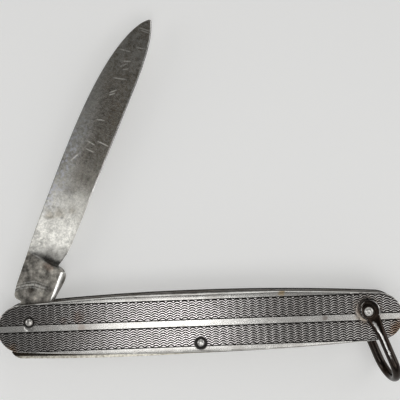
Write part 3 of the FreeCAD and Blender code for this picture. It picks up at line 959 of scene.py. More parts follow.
@dataclass
class Bail:
    """The bent wire loop with two flattened eyes, in its own frame: pin at the origin, loop along a."""

    pin: Place = BAIL_PIN
    swung: float = -68.7
    skew: float = 0.62
    skew_start: float = 0.8
    eye: float = 2.1
    eye_shift: float = 0.45
    eye_half: float = 0.5
    eye_level: float = 3.65
    eye_power: float = 3.6
    eye_turn: float = 0.62 * math.pi
    eye_gap: float = 0.15
    neck: float = 5.4
    neck_start: float = 1.6
    stem: tuple[Pair, ...] = ((0.0, 1.0), (1.3, 1.32), (2.2, 1.22), (3.0, 1.12), (3.8, 1.03))
    wire: float = 0.8
    wire_power: float = 2.0
    wide: float = 0.92
    bow_place: float = 11.22
    bow: float = 3.95
    hole: float = 0.76
    rows: int = 32
    eye_columns: int = 34
    neck_columns: int = 26
    arm_run: tuple[float, float, int] = (6.0, 11.0, 10)
    bow_columns: int = 40
    crest_glint: Pair = (103.0, 11.0)
    crest_run: Span = (1.9, 0.8, 11.0, 2.0)
    rim_glint: Triple = (50.0, 12.0, 0.6)
    drill_reach: float = 20.0
    sharp_angle: float = 40.0

    def arm(self) -> tuple[Array, Array, Array]:
        """One arm from the eye's end to the bow.

        Returns:
            Places, half widths and the share of the wire's section.
        """
        eye = -self.eye * np.cos(np.linspace(0.0, self.eye_turn, self.eye_columns))
        neck = np.linspace(eye[-1] + self.eye_gap, self.neck, self.neck_columns)
        places = np.concatenate([eye, neck, np.linspace(*self.arm_run)])
        disc = np.sqrt(np.maximum(self.eye**2 - places**2, 0.0))
        stem = np.interp(places, *np.array([*self.stem, (self.neck, self.wide)]).T)
        width = np.where(places > 0.0, np.maximum(disc, stem), disc)
        ease = unit((places - self.neck_start) / (self.neck - self.neck_start))
        return places, width, ease * ease * (3.0 - 2.0 * ease)

    def rub_and_glint(self, around: Array, path_a: Array, path_z: Array) -> Array:
        """How far the steel shows worn, with a painted highlight on the front arm's crest, where the key lamp's
        reflection falls, and on the eye's rim.

        Args:
            around: Angles around the wire.
            path_a: Places of the wire's middle along the loop.
            path_z: Its heights.

        Returns:
            The share at each point.
        """
        angle = np.degrees(around)
        top = 90.0
        (crest, crest_width), (rim, rim_width, rim_strength) = self.crest_glint, self.rim_glint
        # Painted highlight: the crest angle is where the key lamp's reflection falls on the front arm.
        lit = np.exp(-(((angle - crest) / crest_width) ** 2))
        edge = np.exp(-(((np.abs(angle - top) - rim) / rim_width) ** 2))
        start, rise, end, fall = self.crest_run
        run = unit((path_a - start) / rise) * unit((end - path_a) / fall) * (path_z > 0.0)
        return lit * run + rim_strength * edge * (path_a < self.neck_start)

    def build(self, name: str) -> Piece:
        """The finished loop.

        Args:
            name: Name of the piece.

        Returns:
            The piece.
        """
        bend = np.linspace(0.0, math.pi, self.bow_columns)

        def path(arm: Array, bow: Array | float, back: Array) -> Array:
            """Values along one arm, the bow and the other arm, one for each column."""
            return np.concatenate([arm, np.broadcast_to(bow, bend.shape), back[::-1]])[:, None]

        places, width, ease = self.arm()
        half = self.eye_half + (self.wire - self.eye_half) * ease
        level = self.eye_level + (self.bow - self.eye_level) * ease
        blunt = self.eye_power - (self.eye_power - self.wire_power) * ease
        path_a = path(places, self.bow_place + self.bow * np.sin(bend), places)
        path_z = path(level, self.bow * np.cos(bend), -level)
        tilt = path(np.zeros(len(places)), bend, np.full(len(places), math.pi))
        power = 2.0 / path(blunt, self.wire_power, blunt)
        around = np.linspace(0.0, 2.0 * math.pi, self.rows, endpoint=False)
        cosine, sine = np.cos(around), np.sin(around)
        side = path(width, self.wide, width) * np.sign(cosine) * np.abs(cosine) ** power
        out = path(half, self.wire, half) * np.sign(sine) * np.abs(sine) ** power
        sprung = unit((path_a - self.skew_start) / (self.neck - self.skew_start))
        side = side + (self.skew * sprung * path_z / self.bow + self.eye_shift * (1.0 - sprung))
        a, z = path_a + out * np.sin(tilt), path_z + out * np.cos(tilt)
        points = placed(a, side, z, self.pin, self.swung)
        piece = lattice(name, points, {"rub_and_glint": self.rub_and_glint(around, path_a, path_z)})
        bore(piece, self.pin, self.hole, self.drill_reach, self.sharp_angle)
        return piece


Profile = tuple[Pair, ...]


@dataclass
class TurnedPart:
    """A part turned about Z, such as a pin, a rivet or a washer, with a hammered face."""

    centre: Place
    profile: Profile
    peening: float
    dents: float = 2.6
    calm: float = 0.3
    steps: int = 48
    sharp_angle: float = 40.0

    def lathe(self) -> Tree:
        """The geometry tree that turns a flat blank of radii and heights about an axis.

        Returns:
            The tree.
        """
        graph, size, end = geometry_group("turned_part", {"Centre": Socket.VECTOR, "Peening": Socket.FLOAT})
        angle = graph.axes(graph.value("GeometryNodeInputPosition"))[0]
        radius, height = graph.attribute("radius"), graph.attribute("height")
        x, y = radius * angle.math("COSINE"), radius * angle.math("SINE")
        noise = graph.noise(graph.vector(x, y, height), self.dents, 1.0)
        struck = (noise - 0.5) * size["Peening"] * radius.ramp(0.0, self.calm)
        sunk = height + struck * height.math("SIGN")
        spot = graph.joined("ADD", graph.vector(x * MM, y * MM, sunk * MM), size["Centre"])
        shape = graph.value("GeometryNodeSetPosition", {"Geometry": size["Geometry"], "Position": spot})
        close_geometry(graph, shape, size["Material"], end)
        return graph.tree

    def build(self, name: str, material: Material) -> Piece:
        """The finished part.

        Args:
            name: Name of the piece.
            material: Its finish.

        Returns:
            The piece.
        """
        rows = np.array(self.profile)
        points = np.zeros((self.steps + 1, len(rows), 3))
        points[:, :, 0] = np.linspace(0.0, 2.0 * math.pi, self.steps + 1)[:, None]
        points[:, :, 1] = np.arange(len(rows))[None, :]
        facts = {"radius": rows[:, 0], "height": rows[:, 1]}
        tree = bpy.data.node_groups.get("turned_part") or self.lathe()
        inputs = {"Centre": tuple(Vector(self.centre) * MM), "Peening": self.peening, "Material": material}
        piece = run_tree(lattice(name, points, facts), tree, inputs, tuple(facts))
        tidy_mesh(piece, self.sharp_angle)
        return piece


def turned_over(profile: Profile) -> Profile:
    """A profile upside down."""
    return tuple((radius, -height) for radius, height in reversed(profile))


PIN_END: Profile = (
    (0.0, 3.14), (0.22, 3.13), (0.42, 3.1), (0.58, 3.03), (0.7, 2.92), (0.78, 2.77), (0.8, 2.62), (0.68, 2.52),
)
RIVET_END: Profile = (
    (0.0, 4.78), (0.12, 4.79), (0.24, 4.84), (0.4, 4.86), (0.58, 4.82),
    (0.74, 4.74), (0.86, 4.61), (0.9, 4.48), (0.68, 4.47),
)
WASHER: Profile = (
    (0.7, 4.2), (1.33, 4.2), (1.42, 4.25), (1.45, 4.33), (1.42, 4.41),
    (1.3, 4.47), (1.0, 4.48), (0.8, 4.46), (0.7, 4.4),
)


@cache
def worn_metal_group() -> Tree:
    """The group that gives old metal its patina, grain, specks and pits.

    Returns:
        The group's tree.
    """
    inputs = {"Vector": Socket.VECTOR, "Base": Socket.COLOUR, "Patina": Socket.COLOUR}
    inputs |= dict.fromkeys(("Spread", "Pitting", "Mottle"), Socket.FLOAT)
    outputs = {"Color": Socket.COLOUR, "Wear": Socket.FLOAT, "Height": Socket.FLOAT}
    graph, given, out = new_group("worn_metal", "ShaderNodeTree", inputs, outputs)
    spot = given["Vector"]
    cloud = graph.noise(spot, 0.24, 5.0, Roughness=0.62)
    speck = graph.noise(spot, 1.5, 4.0, Roughness=0.72)
    grain = graph.noise(spot, 5.0, 3.0, Roughness=0.6)
    patch = graph.noise(spot, 0.6, 2.0, Roughness=0.5)
    blotch = (cloud + (speck - 0.5) * 0.35).ramp(0.4, 0.66) * given["Spread"]
    cells = graph.value("ShaderNodeTexVoronoi", {"Vector": spot, "Scale": 1.9}, output="Distance")
    pit = (1.0 - cells.ramp(0.05, 0.2)) * patch.ramp(0.46, 0.6) * given["Pitting"]
    tone = 1.0 + ((0.7 + grain * 0.6) * (0.25 + speck * 1.5) - 1.0) * given["Mottle"]
    tone = tone * (1.0 - pit * 0.65)
    colour = graph.mix(blotch, given["Base"], given["Patina"])
    feed(out.inputs["Color"], graph.joined("MULTIPLY", colour, graph.vector(tone, tone, tone)))
    feed(out.inputs["Wear"], blotch * 0.6 + speck * 0.4 + pit * 0.5)
    feed(out.inputs["Height"], speck * 0.6 + grain * 0.4 - pit * 1.2)
    return graph.tree


@cache
def scratch_group() -> Tree:
    """The group that draws thin broken scratches in one direction.

    Returns:
        The group's tree.
    """
    graph, given, out = mask_group("scratches", ("Vector",), ("Turn", "Closeness", "Length", "Cover"))
    close = given["Closeness"]
    stretch = graph.vector(given["Length"].math("POWER", -1.0), close, close)
    drawn = graph.joined("MULTIPLY", graph.turned(given["Vector"], given["Turn"]), stretch)
    thin = 1.0 - (graph.noise(drawn, 1.0, 2.0) - 0.5).absolute().ramp(0.0, 0.02)
    part = graph.noise(given["Vector"], 0.55, 3.0)
    feed(out.inputs["Mask"], thin * (part + given["Cover"] - 1.0).ramp(0.0, 0.12))
    return graph.tree


@cache
def stain_group() -> Tree:
    """The group that masks one ragged stain around a point.

    Returns:
        The group's tree.
    """
    graph, given, out = mask_group("stain", ("Vector", "Centre"), ("Reach", "Rag"))
    away = graph.joined("DISTANCE", given["Vector"], given["Centre"], "Value")
    share = away / given["Reach"] + (graph.noise(given["Vector"], 1.1, 5.0) - 0.5) * given["Rag"]
    feed(out.inputs["Mask"], 1.0 - share.ramp(0.25, 1.0))
    return graph.tree


@cache
def stroke_group() -> Tree:
    """The group that masks one fine straight scratch that fades at its ends.

    Returns:
        The group's tree.
    """
    graph, given, out = mask_group("stroke", ("Vector", "Middle"), ("Turn", "Length"))
    shifted = graph.joined("SUBTRACT", given["Vector"], given["Middle"])
    along, across, _ = graph.axes(graph.turned(shifted, given["Turn"]))
    noise = graph.noise(given["Vector"], 2.0, 2.0)
    fade = 1.0 - (along.absolute() / given["Length"]).ramp(0.2, 0.5)
    feed(out.inputs["Mask"], (1.0 - across.absolute().ramp(0.05, 0.19)) * fade * noise.ramp(0.25, 0.5))
    return graph.tree


@dataclass
class Layers:
    """A finish being built up in a material: its colour, roughness and relief at each place."""

    graph: Graph
    spot: Field
    colour: Field
    rough: Field
    height: Field

    def tint(self, share: Field, colour: Field | Colour, blend: str = "MIX") -> None:
        """Mixes in a colour, running or constant, by a share and Blender's name of a blend."""
        full = colour if isinstance(colour, Field) else (*colour, 1.0)
        self.colour = self.graph.mix(share, self.colour, full, blend)

    def change(self, rough: Field, height: Field) -> None:
        """Adds to the roughness and to the relief."""
        self.rough, self.height = self.rough + rough, self.height + height

    def noise(self, scale: float, detail: float) -> Field:
        """A noise on the finish's coordinates."""
        return self.graph.noise(self.spot, scale, detail)

    def mask(self, tree: Tree, **inputs: object) -> Field:
        """The mask of a shared group on the finish's coordinates, with its inputs by name."""
        return self.graph.group(tree, Vector=self.spot, **inputs)["Mask"]

    def scratches(self, turn: float, closeness: float, length: float, cover: float) -> Field:
        """A mask of scratches: angle in degrees, lines for each millimetre, length and share that has any."""
        turned = math.radians(-turn)
        return self.mask(scratch_group(), Turn=turned, Closeness=closeness, Length=length, Cover=cover)


@dataclass(frozen=True)
class Stain:
    """A stain on a finish: where it is, how far it reaches, what it tints the metal with and how strongly."""

    centre: Place
    reach: float
    tint: Colour
    strength: float
    rag: float = 1.1

    def lay(self, layers: Layers) -> None:
        """Adds the stain.

        Args:
            layers: The finish so far.
        """
        inputs = {"Centre": self.centre, "Reach": self.reach, "Rag": self.rag}
        mask = layers.mask(stain_group(), **inputs) * self.strength
        layers.tint(mask, self.tint, "MULTIPLY")
        layers.change(mask * 0.15, mask * 0.3)


@dataclass(frozen=True)
class Stroke:
    """One scratch on the blade: its middle in the blade's frame, its angle, length and strength."""

    middle: Pair
    turn: float
    length: float
    strength: float

    def mask(self, layers: Layers) -> Field:
        """Where the scratch shows on a finish, and how strongly."""
        inputs = {"Middle": (*self.middle, 0.0), "Turn": math.radians(-self.turn), "Length": self.length}
        return layers.mask(stroke_group(), **inputs) * self.strength


@dataclass(frozen=True)
class Finish:
    """An old metal finish: base colour, patina, roughness and relief, in the piece's own coordinates."""

    name: str
    base: Colour
    patina: Colour
    spread: float
    roughness: float
    wear: float
    relief: float
    pitting: float
    stains: tuple[Stain, ...] = ()
    mottle: float = 0.8

    def place(self, graph: Graph) -> Field:
        """The coordinates of the finish in millimetres."""
        spot = graph.value("ShaderNodeTexCoord", output="Object")
        return graph.value("ShaderNodeVectorMath", {0: spot, "Scale": 1.0 / MM}, operation="SCALE")

    def detail(self, layers: Layers) -> None:
        """Adds what the finish has beyond worn metal; each kind of finish has its own.

        Args:
            layers: The finish so far.
        """
        fine = layers.scratches(24.0, 7.0, 2.2, 0.62)
        layers.tint(fine * 0.35, tuple(min(1.0, level * 1.7) for level in self.base))
        layers.height = layers.height - fine * 0.3

    def material(self) -> Material:
        """The finish as a material.

        Returns:
            The material.
        """
        even_wear, smoothest, roughest = 0.3, 0.08, 0.95
        made = bpy.data.materials.new(self.name)
        made.use_nodes = True
        graph = Graph(made.node_tree)
        shader = made.node_tree.nodes["Principled BSDF"]
        spot = self.place(graph)
        colours = {"Base": (*self.base, 1.0), "Patina": (*self.patina, 1.0)}
        shares = {"Spread": self.spread, "Pitting": self.pitting, "Mottle": self.mottle}
        metal = graph.group(worn_metal_group(), Vector=spot, **colours, **shares)
        rough = self.roughness + (metal["Wear"] - even_wear) * self.wear
        layers = Layers(graph, spot, metal["Color"], rough, metal["Height"])
        self.detail(layers)
        for stain in self.stains:
            stain.lay(layers)
        relief = {"Strength": 1.0, "Distance": self.relief * MM, "Height": layers.height}
        feed(shader.inputs["Metallic"], 1.0)
        feed(shader.inputs["Base Color"], layers.colour)
        feed(shader.inputs["Roughness"], layers.rough.held(smoothest, roughest))
        feed(shader.inputs["Normal"], graph.value("ShaderNodeBump", relief))
        return made


@dataclass(frozen=True)
class StampedSilver(Finish):
    """The scales' finish: soiling in the stamped grooves, painted shade in the dimples and on the outer edge
    and walls, and lands that are lightest near the middle of the handle and darker to both ends, partly wear
    and oxide and partly the key lamp's light painted in.
    """

    # Colour of the groove soiling and of the painted shade.
    dirt_and_shade: Colour = (0.018, 0.016, 0.014)
    rubbed_and_lit: Colour = (0.95, 0.88, 0.9)
    scratched: Colour = (0.9, 0.88, 0.84)
    tarnished_and_shaded: Colour = (0.77, 0.76, 0.76)
    # Middle and reach of the lands' painted light, lightest near where the key lamp's highlight falls.
    rubbed_and_lit_x: float = -6.5
    rubbed_and_lit_reach: Pair = (4.0, 28.0)
    dimples: tuple[tuple[Place, float], ...] = ((MAIN_PIN, 1.14), (SPRING_PIN, 1.34))
    dimple_edge: Pair = (0.14, 0.16)

    def detail(self, layers: Layers) -> None:
        """Adds rubbing marks along the handle, the soiling in the grooves, the painted shade in the dimples and
        on the edge and walls, and the painted light on the lands.

        Args:
            layers: The finish so far.
        """
        graph = layers.graph
        marks = layers.scratches(4.0, 6.0, 3.0, 0.6).most(layers.scratches(62.0, 4.0, 1.6, 0.5))
        layers.tint(marks * 0.25, self.scratched)
        noise = layers.noise(1.3, 3.0)
        x, y, _ = graph.axes(layers.spot)
        # Lighter near the middle and darker towards both ends: partly oxide and partly the falloff of the key
        # lamp's light, painted in.
        tarnish_and_falloff = (x - self.rubbed_and_lit_x).absolute().ramp(*self.rubbed_and_lit_reach)
        # The cut attribute holds groove soiling and painted shade on the outer edge and walls.
        dirt_and_shade_share = (graph.mark("cut") + (noise - 0.5) * 0.25 + tarnish_and_falloff * 0.08).ramp(0.14, 0.5)
        inner, outer = self.dimple_edge
        # Painted shade: a dark ring in each pin's dimple around its head.
        for pin, radius in self.dimples:
            bowl = 1.0 - distance(x, y, pin).ramp(radius - inner, radius + outer)
            dirt_and_shade_share = dirt_and_shade_share.most(bowl * 0.96)
        panel = graph.mark("panel")
        # Painted light on the lands, strongest near the middle of the handle.
        layers.tint(panel * noise.ramp(0.25, 0.7) * (0.75 - tarnish_and_falloff * 0.55), self.rubbed_and_lit)
        layers.tint(panel * tarnish_and_falloff, self.tarnished_and_shaded, "MULTIPLY")
        layers.tint(dirt_and_shade_share * 0.97, self.dirt_and_shade)
        layers.change(dirt_and_shade_share * 0.3 - panel * 0.07, marks * -0.25)


@dataclass(frozen=True)
class BladeSteel(Finish):
    """The blade's finish: worn tang, a lighter lower blade that is partly its own tone and partly a painted
    highlight, patina to the point, painted highlights on the honed edge and the kick bevel, and painted shadow
    with soiling along the plunge.

    Spans and rises are in millimetres, along the blade or from the pivot's line towards the spine.
    """

    # Lighter lower blade: partly its own tone and partly a painted highlight.
    bright: Colour = (0.68, 0.67, 0.625)
    tang: Colour = (0.265, 0.25, 0.222)
    brown: Colour = (0.16, 0.125, 0.085)
    blue: Colour = (0.53, 0.54, 0.6)
    pale: Colour = (0.47, 0.47, 0.45)
    dull: Colour = (0.5, 0.48, 0.46)
    # Shine and painted highlight on the kick bevel and the honed edge.
    polished_and_highlit: Colour = (0.9, 0.89, 0.86)
    scratched: Colour = (0.92, 0.9, 0.83)
    # Soiling and painted shadow at the plunge.
    grime_and_shade: Colour = (0.02, 0.018, 0.016)
    bright_falls: tuple[Pair, Pair] = ((18.0, 28.0), (23.0, 34.0))
    dull_span: Span = (26.0, 31.0, 42.0, 54.0)
    dull_top: Pair = (0.5, 3.5)
    brown_rise: Pair = (32.0, 52.0)
    pale_spine: Pair = (1.8, 5.2)
    pale_span: Span = (31.0, 37.0, 52.0, 60.0)
    pale_point: Span = (52.0, 57.0, 60.0, 63.5)
    blue_spine: Pair = (1.8, 4.8)
    blue_span: Span = (18.0, 26.0, 34.0, 48.0)
    tang_end: Pair = (11.7, 12.05)
    tang_lean: float = 0.2
    rings: tuple[Triple, ...] = ((7.3, 0.34, 0.9), (6.75, 0.2, 0.5), (7.9, 0.18, 0.45))
    grain_rise: Pair = (28.0, 44.0)
    strokes: tuple[Stroke, ...] = ()

    def place(self, graph: Graph) -> Field:
        """The coordinates in the blade's own frame, in millimetres."""
        return graph.mark("place", "Vector")

    def toned(self, graph: Graph, colour: Colour, tone: Field) -> Field:
        """A colour made lighter or darker by a running tone."""
        return graph.vector(*(tone * level for level in colour))

    def detail(self, layers: Layers) -> None:
        """Adds the zones along the blade with the painted highlight on its lower part, its scratches, the wear
        of the tang, the painted highlights on the honed edge and the kick bevel, and the painted shadow at the
        plunge.

        Args:
            layers: The finish so far.
        """
        graph = layers.graph
        u, v, _ = graph.axes(layers.spot)
        speck, fine = layers.noise(2.4, 4.0), layers.noise(6.0, 2.0)
        noises = ((0.3, 5.0), (0.75, 3.0), (1.4, 4.0))
        cloud, drifted, spotted = (layers.noise(*sizes) - 0.5 for sizes in noises)
        # Painted highlight, in part: the lower blade is lighter near the tang and fades towards the point, half
        # its own tone and half the key lamp's reflection.
        ending = u + cloud * 14.0 + drifted * 13.0 + spotted * 11.0 - v * 0.3
        first, second = (ending.ramp(*fall) for fall in self.bright_falls)
        bright = 1.0 - first * 0.42 - second * 0.58
        mottled = 1.0 + (speck - 0.5) * 0.8 + (fine - 0.5) * 0.6 + cloud * 0.9 + drifted * 1.1 + spotted * 1.2
        layers.tint(bright * (0.6 + speck * 0.6).held(0.0, 1.0), self.toned(graph, self.bright, mottled))
        dulled = u.within(*self.dull_span) * (1.0 - v.ramp(*self.dull_top))
        layers.tint(dulled * (0.4 + speck * 0.8), self.dull, "MULTIPLY")
        browned = (u + cloud * 16.0 - v * 2.2).ramp(*self.brown_rise) * speck.ramp(0.3, 0.75)
        layers.tint(browned * 0.75, self.brown)
        pale = v.ramp(*self.pale_spine) * u.within(*self.pale_span) * 0.4
        pale = pale.most(u.within(*self.pale_point) * drifted.ramp(-0.2, 0.1) * 0.3)
        layers.tint(pale * (0.5 + speck), self.pale)
        blued = (v + cloud * 5.0).ramp(*self.blue_spine) * u.within(*self.blue_span)
        layers.tint(blued * spotted.ramp(-0.03, 0.13) * 0.75, self.blue)

        on_tang = 1.0 - (u - v.most(0.0) * self.tang_lean).ramp(*self.tang_end)
        clouded = mottled * (1.0 + cloud * 1.8 + drifted * 3.0).most(0.25)
        layers.tint(on_tang, self.toned(graph, self.tang, clouded))
        away = (u * u + v * v).root()
        for radius, width, strength in self.rings:
            ring = 1.0 - (away - radius + cloud * 1.2).absolute().ramp(0.03, width)
            ring = ring * on_tang * (v + 1.0).ramp(0.0, 1.5) * speck.ramp(0.3, 0.52)
            layers.tint(ring * strength, self.bright)
        # Painted highlight on the kick bevel and the honed edge, partly their real shine.
        polish_and_highlight = graph.mark("polish_and_highlight") * (0.55 + speck * 0.9).held(0.0, 1.0)
        layers.tint(polish_and_highlight, self.polished_and_highlit)

        grain = layers.scratches(88.0, 9.0, 2.4, 0.72) * (1.0 - on_tang)
        marks = grain * (0.25 + u.ramp(*self.grain_rise) * 0.25)
        for stroke in self.strokes:
            marks = marks.most(stroke.mask(layers))
        layers.tint(marks, self.scratched)
        # Painted shadow at the plunge, partly soiling.
        layers.tint((graph.mark("grime_and_shade") * (0.6 + speck * 0.8)).held(0.0, 0.93), self.grime_and_shade)
        layers.change(on_tang * 0.1 - marks * 0.1 - polish_and_highlight * 0.2, marks * -0.4)


@dataclass(frozen=True)
class RubbedAndGlintSteel(Finish):
    """The bail's finish: nearly black, with worn steel and a painted highlight along the wire's crest, where
    the key lamp's reflection falls, and on the eye's rim.
    """

    bare_and_glint: Colour = (0.86, 0.85, 0.82)

    def detail(self, layers: Layers) -> None:
        """Adds the worn steel with its painted highlight.

        Args:
            layers: The finish so far.
        """
        # Painted highlight: white worn steel on the front arm's crest and the eye's rim, placed where the
        # lamp's reflection falls.
        rub_and_glint = layers.graph.mark("rub_and_glint")
        bare_and_glint = (rub_and_glint * 1.5 + layers.noise(1.4, 3.0) * 1.6 - 1.15).ramp(0.0, 0.75) * rub_and_glint.ramp(0.05, 0.4)
        layers.tint(bare_and_glint, self.bare_and_glint)
        layers.change(bare_and_glint * 0.05, bare_and_glint * -0.3)


@dataclass(frozen=True)
class SpringSteel(Finish):
    """The back spring's finish: soiled and in painted shade next to the scale, worn and lit by a painted
    highlight along the edge that stands proud.
    """

    worn: Colour = (0.92, 0.88, 0.76)
    dirty_and_shaded: Colour = (0.12, 0.11, 0.1)
    edge_y: float = -6.54
    edge_x: float = -14.0
    edge_curve: float = 0.0007
    edge_width: float = 0.62
    middle_z: float = 3.0
    corner: Pair = (0.9, 1.12)

    def detail(self, layers: Layers) -> None:
        """Adds the worn edge with its painted highlight, and the painted shade next to the scale.

        Args:
            layers: The finish so far.
        """
        x, y, z = layers.graph.axes(layers.spot)
        off = x - self.edge_x
        inside = y - (off * off * self.edge_curve + self.edge_y)
        speck = layers.noise(1.6, 4.0)
        # Painted highlight on the proud edge's corners, partly real wear.
        worn = 1.0 - inside.ramp(self.edge_width * 0.7, self.edge_width)
        bright = worn * (0.35 + speck.ramp(0.36, 0.6) * 0.6)
        bright = bright * (z - self.middle_z).absolute().ramp(*self.corner)
        filed = layers.scratches(1.5, 6.0, 5.0, 0.75) * (1.0 - inside.ramp(0.2, 0.5))
        layers.tint(filed * 0.5, self.worn)
        # Painted shade on the face next to the scale, partly soiling.
        layers.tint(inside.ramp(self.edge_width * 0.6, self.edge_width), self.dirty_and_shaded, "MULTIPLY")
        layers.tint(bright, self.worn)
        layers.change(bright * -0.06, speck * -0.4)


@dataclass(frozen=True)
class Lamp:
    """A soft rectangular lamp: place, aim and sides in millimetres, power in watts."""

    name: str
    place: Place
    aim: Place
    sides: Pair
    power: float

    def hang(self) -> None:
        """Puts the lamp into the scene."""
        light = bpy.data.lights.new(self.name, "AREA")
        light.shape = "RECTANGLE"
        light.size, light.size_y = (side * MM for side in self.sides)
        light.energy = self.power
        made = added(self.name, light)
        made.location = Vector(self.place) * MM
        made.rotation_euler = (Vector(self.aim) - Vector(self.place)).to_track_quat("-Z", "Y").to_euler()
        made.visible_camera = False


@dataclass
class Studio:
    """Camera, lamps and floor, in millimetres."""

    camera: Place = (0.83, 24.38, 153.0)
    roll: float = -2.05
    lens: float = 66.65
    sensor: float = 36.0
    nearest: float = 5.0
    lamps: tuple[Lamp, ...] = (
        Lamp("key", (-15.0, -27.0, 165.0), (-15.0, -27.0, 0.0), (50.0, 90.0), 0.031),
        Lamp("spark", (-9.0, -20.0, 160.0), (-9.0, -20.0, 0.0), (6.0, 6.0), 0.0018),
        Lamp("kick", (98.0, -86.0, 195.0), (-27.0, 9.0, 3.0), (90.0, 90.0), 0.05),
        Lamp("left", (-260.0, 40.0, 120.0), (0.0, 0.0, 0.0), (160.0, 160.0), 0.1),
        Lamp("right", (260.0, 60.0, 120.0), (0.0, 0.0, 0.0), (160.0, 160.0), 0.1),
        Lamp("back", (0.0, 330.0, 140.0), (0.0, 0.0, 0.0), (180.0, 180.0), 0.1),
        Lamp("fore", (-15.0, -125.0, 190.0), (-15.0, 0.0, 0.0), (150.0, 50.0), 0.023),
    )
    floor_reach: float = 3000.0
    floor_drop: float = -2.2
    floor_lean: float = 1.6
    floor_touch: float = 35.5
    floor_colour: Span = (0.8, 0.8, 0.79, 1.0)
    floor_roughness: float = 0.9
    floor_shine: float = 0.1
    floor_glow: float = 0.35
    sky: float = 0.16
    horizon: float = 0.7
    sky_rise: Pair = (0.14, 0.62)

    def build(self) -> None:
        """Makes the camera, the lamps, the world and the floor."""
        scene = bpy.context.scene
        scene.view_settings.view_transform = "Standard"
        lens = bpy.data.cameras.new("camera")
        lens.lens = self.lens
        lens.sensor_width = self.sensor
        lens.clip_start = self.nearest * MM
        eye = added("camera", lens)
        eye.location = Vector(self.camera) * MM
        eye.rotation_euler = (0.0, 0.0, math.radians(self.roll))
        scene.camera = eye
        for lamp in self.lamps:
            lamp.hang()
        world = bpy.data.worlds.new("studio")
        world.use_nodes = True
        graph = Graph(world.node_tree)
        rise = graph.axes(graph.value("ShaderNodeTexCoord", output="Generated"))[2]
        level = self.horizon + rise.ramp(*self.sky_rise) * (self.sky - self.horizon)
        feed(world.node_tree.nodes["Background"].inputs["Color"], level)
        scene.world = world
        self.floor()

    def floor(self) -> None:
        """A large pale floor that touches the bail and the other end of the rear scale."""
        reach = self.floor_reach * MM
        lean = math.tan(math.radians(self.floor_lean))
        mesh = bpy.data.meshes.new("floor")
        corners = [(-reach, -reach), (reach, -reach), (reach, reach), (-reach, reach)]
        heights = [self.floor_drop * MM - (x - self.floor_touch * MM) * lean for x, _ in corners]
        mesh.from_pydata([(*corner, z) for corner, z in zip(corners, heights)], [], [(0, 1, 2, 3)])
        made = added("floor", mesh)
        material = bpy.data.materials.new("pale_floor")
        material.use_nodes = True
        graph = Graph(material.node_tree)
        rays = graph.node("ShaderNodeLightPath")
        kinds = ("Is Camera Ray", "Is Glossy Ray", "Is Transmission Ray")
        camera, glossy, through = (Field(graph.tree, rays.outputs[name]) for name in kinds)
        inputs = {
            "Base Color": self.floor_colour,
            "Roughness": self.floor_roughness,
            "Specular IOR Level": self.floor_shine,
            "Emission Color": self.floor_colour,
            "Emission Strength": camera.most(glossy).most(through) * self.floor_glow,
        }
        for name, value in inputs.items():
            feed(material.node_tree.nodes["Principled BSDF"].inputs[name], value)
        made.data.materials.append(material)


RUST = (0.52, 0.36, 0.29)
BROWN_STAIN_AND_SHADE = (0.55, 0.4, 0.26)
SCALE_STAINS = tuple(
    Stain(*row)
    for row in (
        ((-24.1, 2.0, 6.0), 1.7, RUST, 0.6),
        ((-27.2, 1.4, 6.0), 1.2, RUST, 0.4),
        ((-23.6, 0.0, 6.0), 1.0, (0.72, 0.58, 0.52), 0.5),
        ((16.4, 5.5, 6.0), 1.0, (0.7, 0.5, 0.22), 0.75),
        ((-37.9, -4.2, 5.6), 2.0, (0.72, 0.45, 0.25), 0.75),
        ((24.8, 0.1, 6.0), 0.8, (0.25, 0.2, 0.18), 0.75),
        # Brown stain around the bail's eye, partly painted shade under the eye.
        ((33.2, 1.25, 6.0), 3.8, BROWN_STAIN_AND_SHADE, 0.65),
        ((39.2, -2.8, 5.6), 2.6, (0.66, 0.4, 0.22), 0.75),
    )
)
BLADE_STAINS = tuple(
    Stain(*row)
    for row in (
        ((5.9, 2.2, 1.2), 0.9, (0.25, 0.22, 0.2), 0.7),
        ((11.6, 0.6, 1.2), 1.6, (0.6, 0.4, 0.32), 0.5),
        ((22.3, 2.3, 0.9), 1.5, (0.7, 0.63, 0.52), 0.4),
        ((23.6, 0.2, 0.7), 1.1, (0.68, 0.63, 0.55), 0.45),
        ((21.2, 4.0, 1.0), 1.3, (0.76, 0.66, 0.5), 0.35),
        ((27.2, 1.9, 0.8), 1.6, (0.62, 0.61, 0.63), 0.5),
    )
)
STROKES = tuple(
    Stroke(*row)
    for row in (
        ((57.7, 1.6), -83.0, 3.0, 0.85), ((59.3, -1.5), -79.0, 3.0, 0.8), ((55.8, 0.4), -73.0, 2.0, 0.95),
        ((52.0, 0.5), -78.0, 3.4, 0.8), ((49.1, 0.9), -49.0, 2.0, 0.9), ((48.5, 0.9), -51.0, 1.6, 0.9),
        ((42.8, 1.2), -77.0, 2.0, 0.8), ((37.8, 1.4), -99.0, 2.2, 0.6), ((63.1, -0.7), -86.0, 3.0, 0.6),
        ((62.7, -0.9), -88.0, 2.4, 0.6), ((54.8, 0.8), -46.0, 1.8, 0.7), ((38.5, -0.9), 84.0, 3.2, 0.6),
        ((36.3, 1.1), 84.0, 2.2, 0.5), ((34.0, 3.4), -28.0, 2.6, 0.7), ((54.2, 0.1), -60.0, 1.6, 0.6),
    )
)
SILVER = StampedSilver(
    "worn_silver", (0.68, 0.67, 0.64), (0.42, 0.39, 0.36),
    spread=0.5, roughness=0.27, wear=0.08, relief=0.004, pitting=0.2, stains=SCALE_STAINS, mottle=0.3,
)
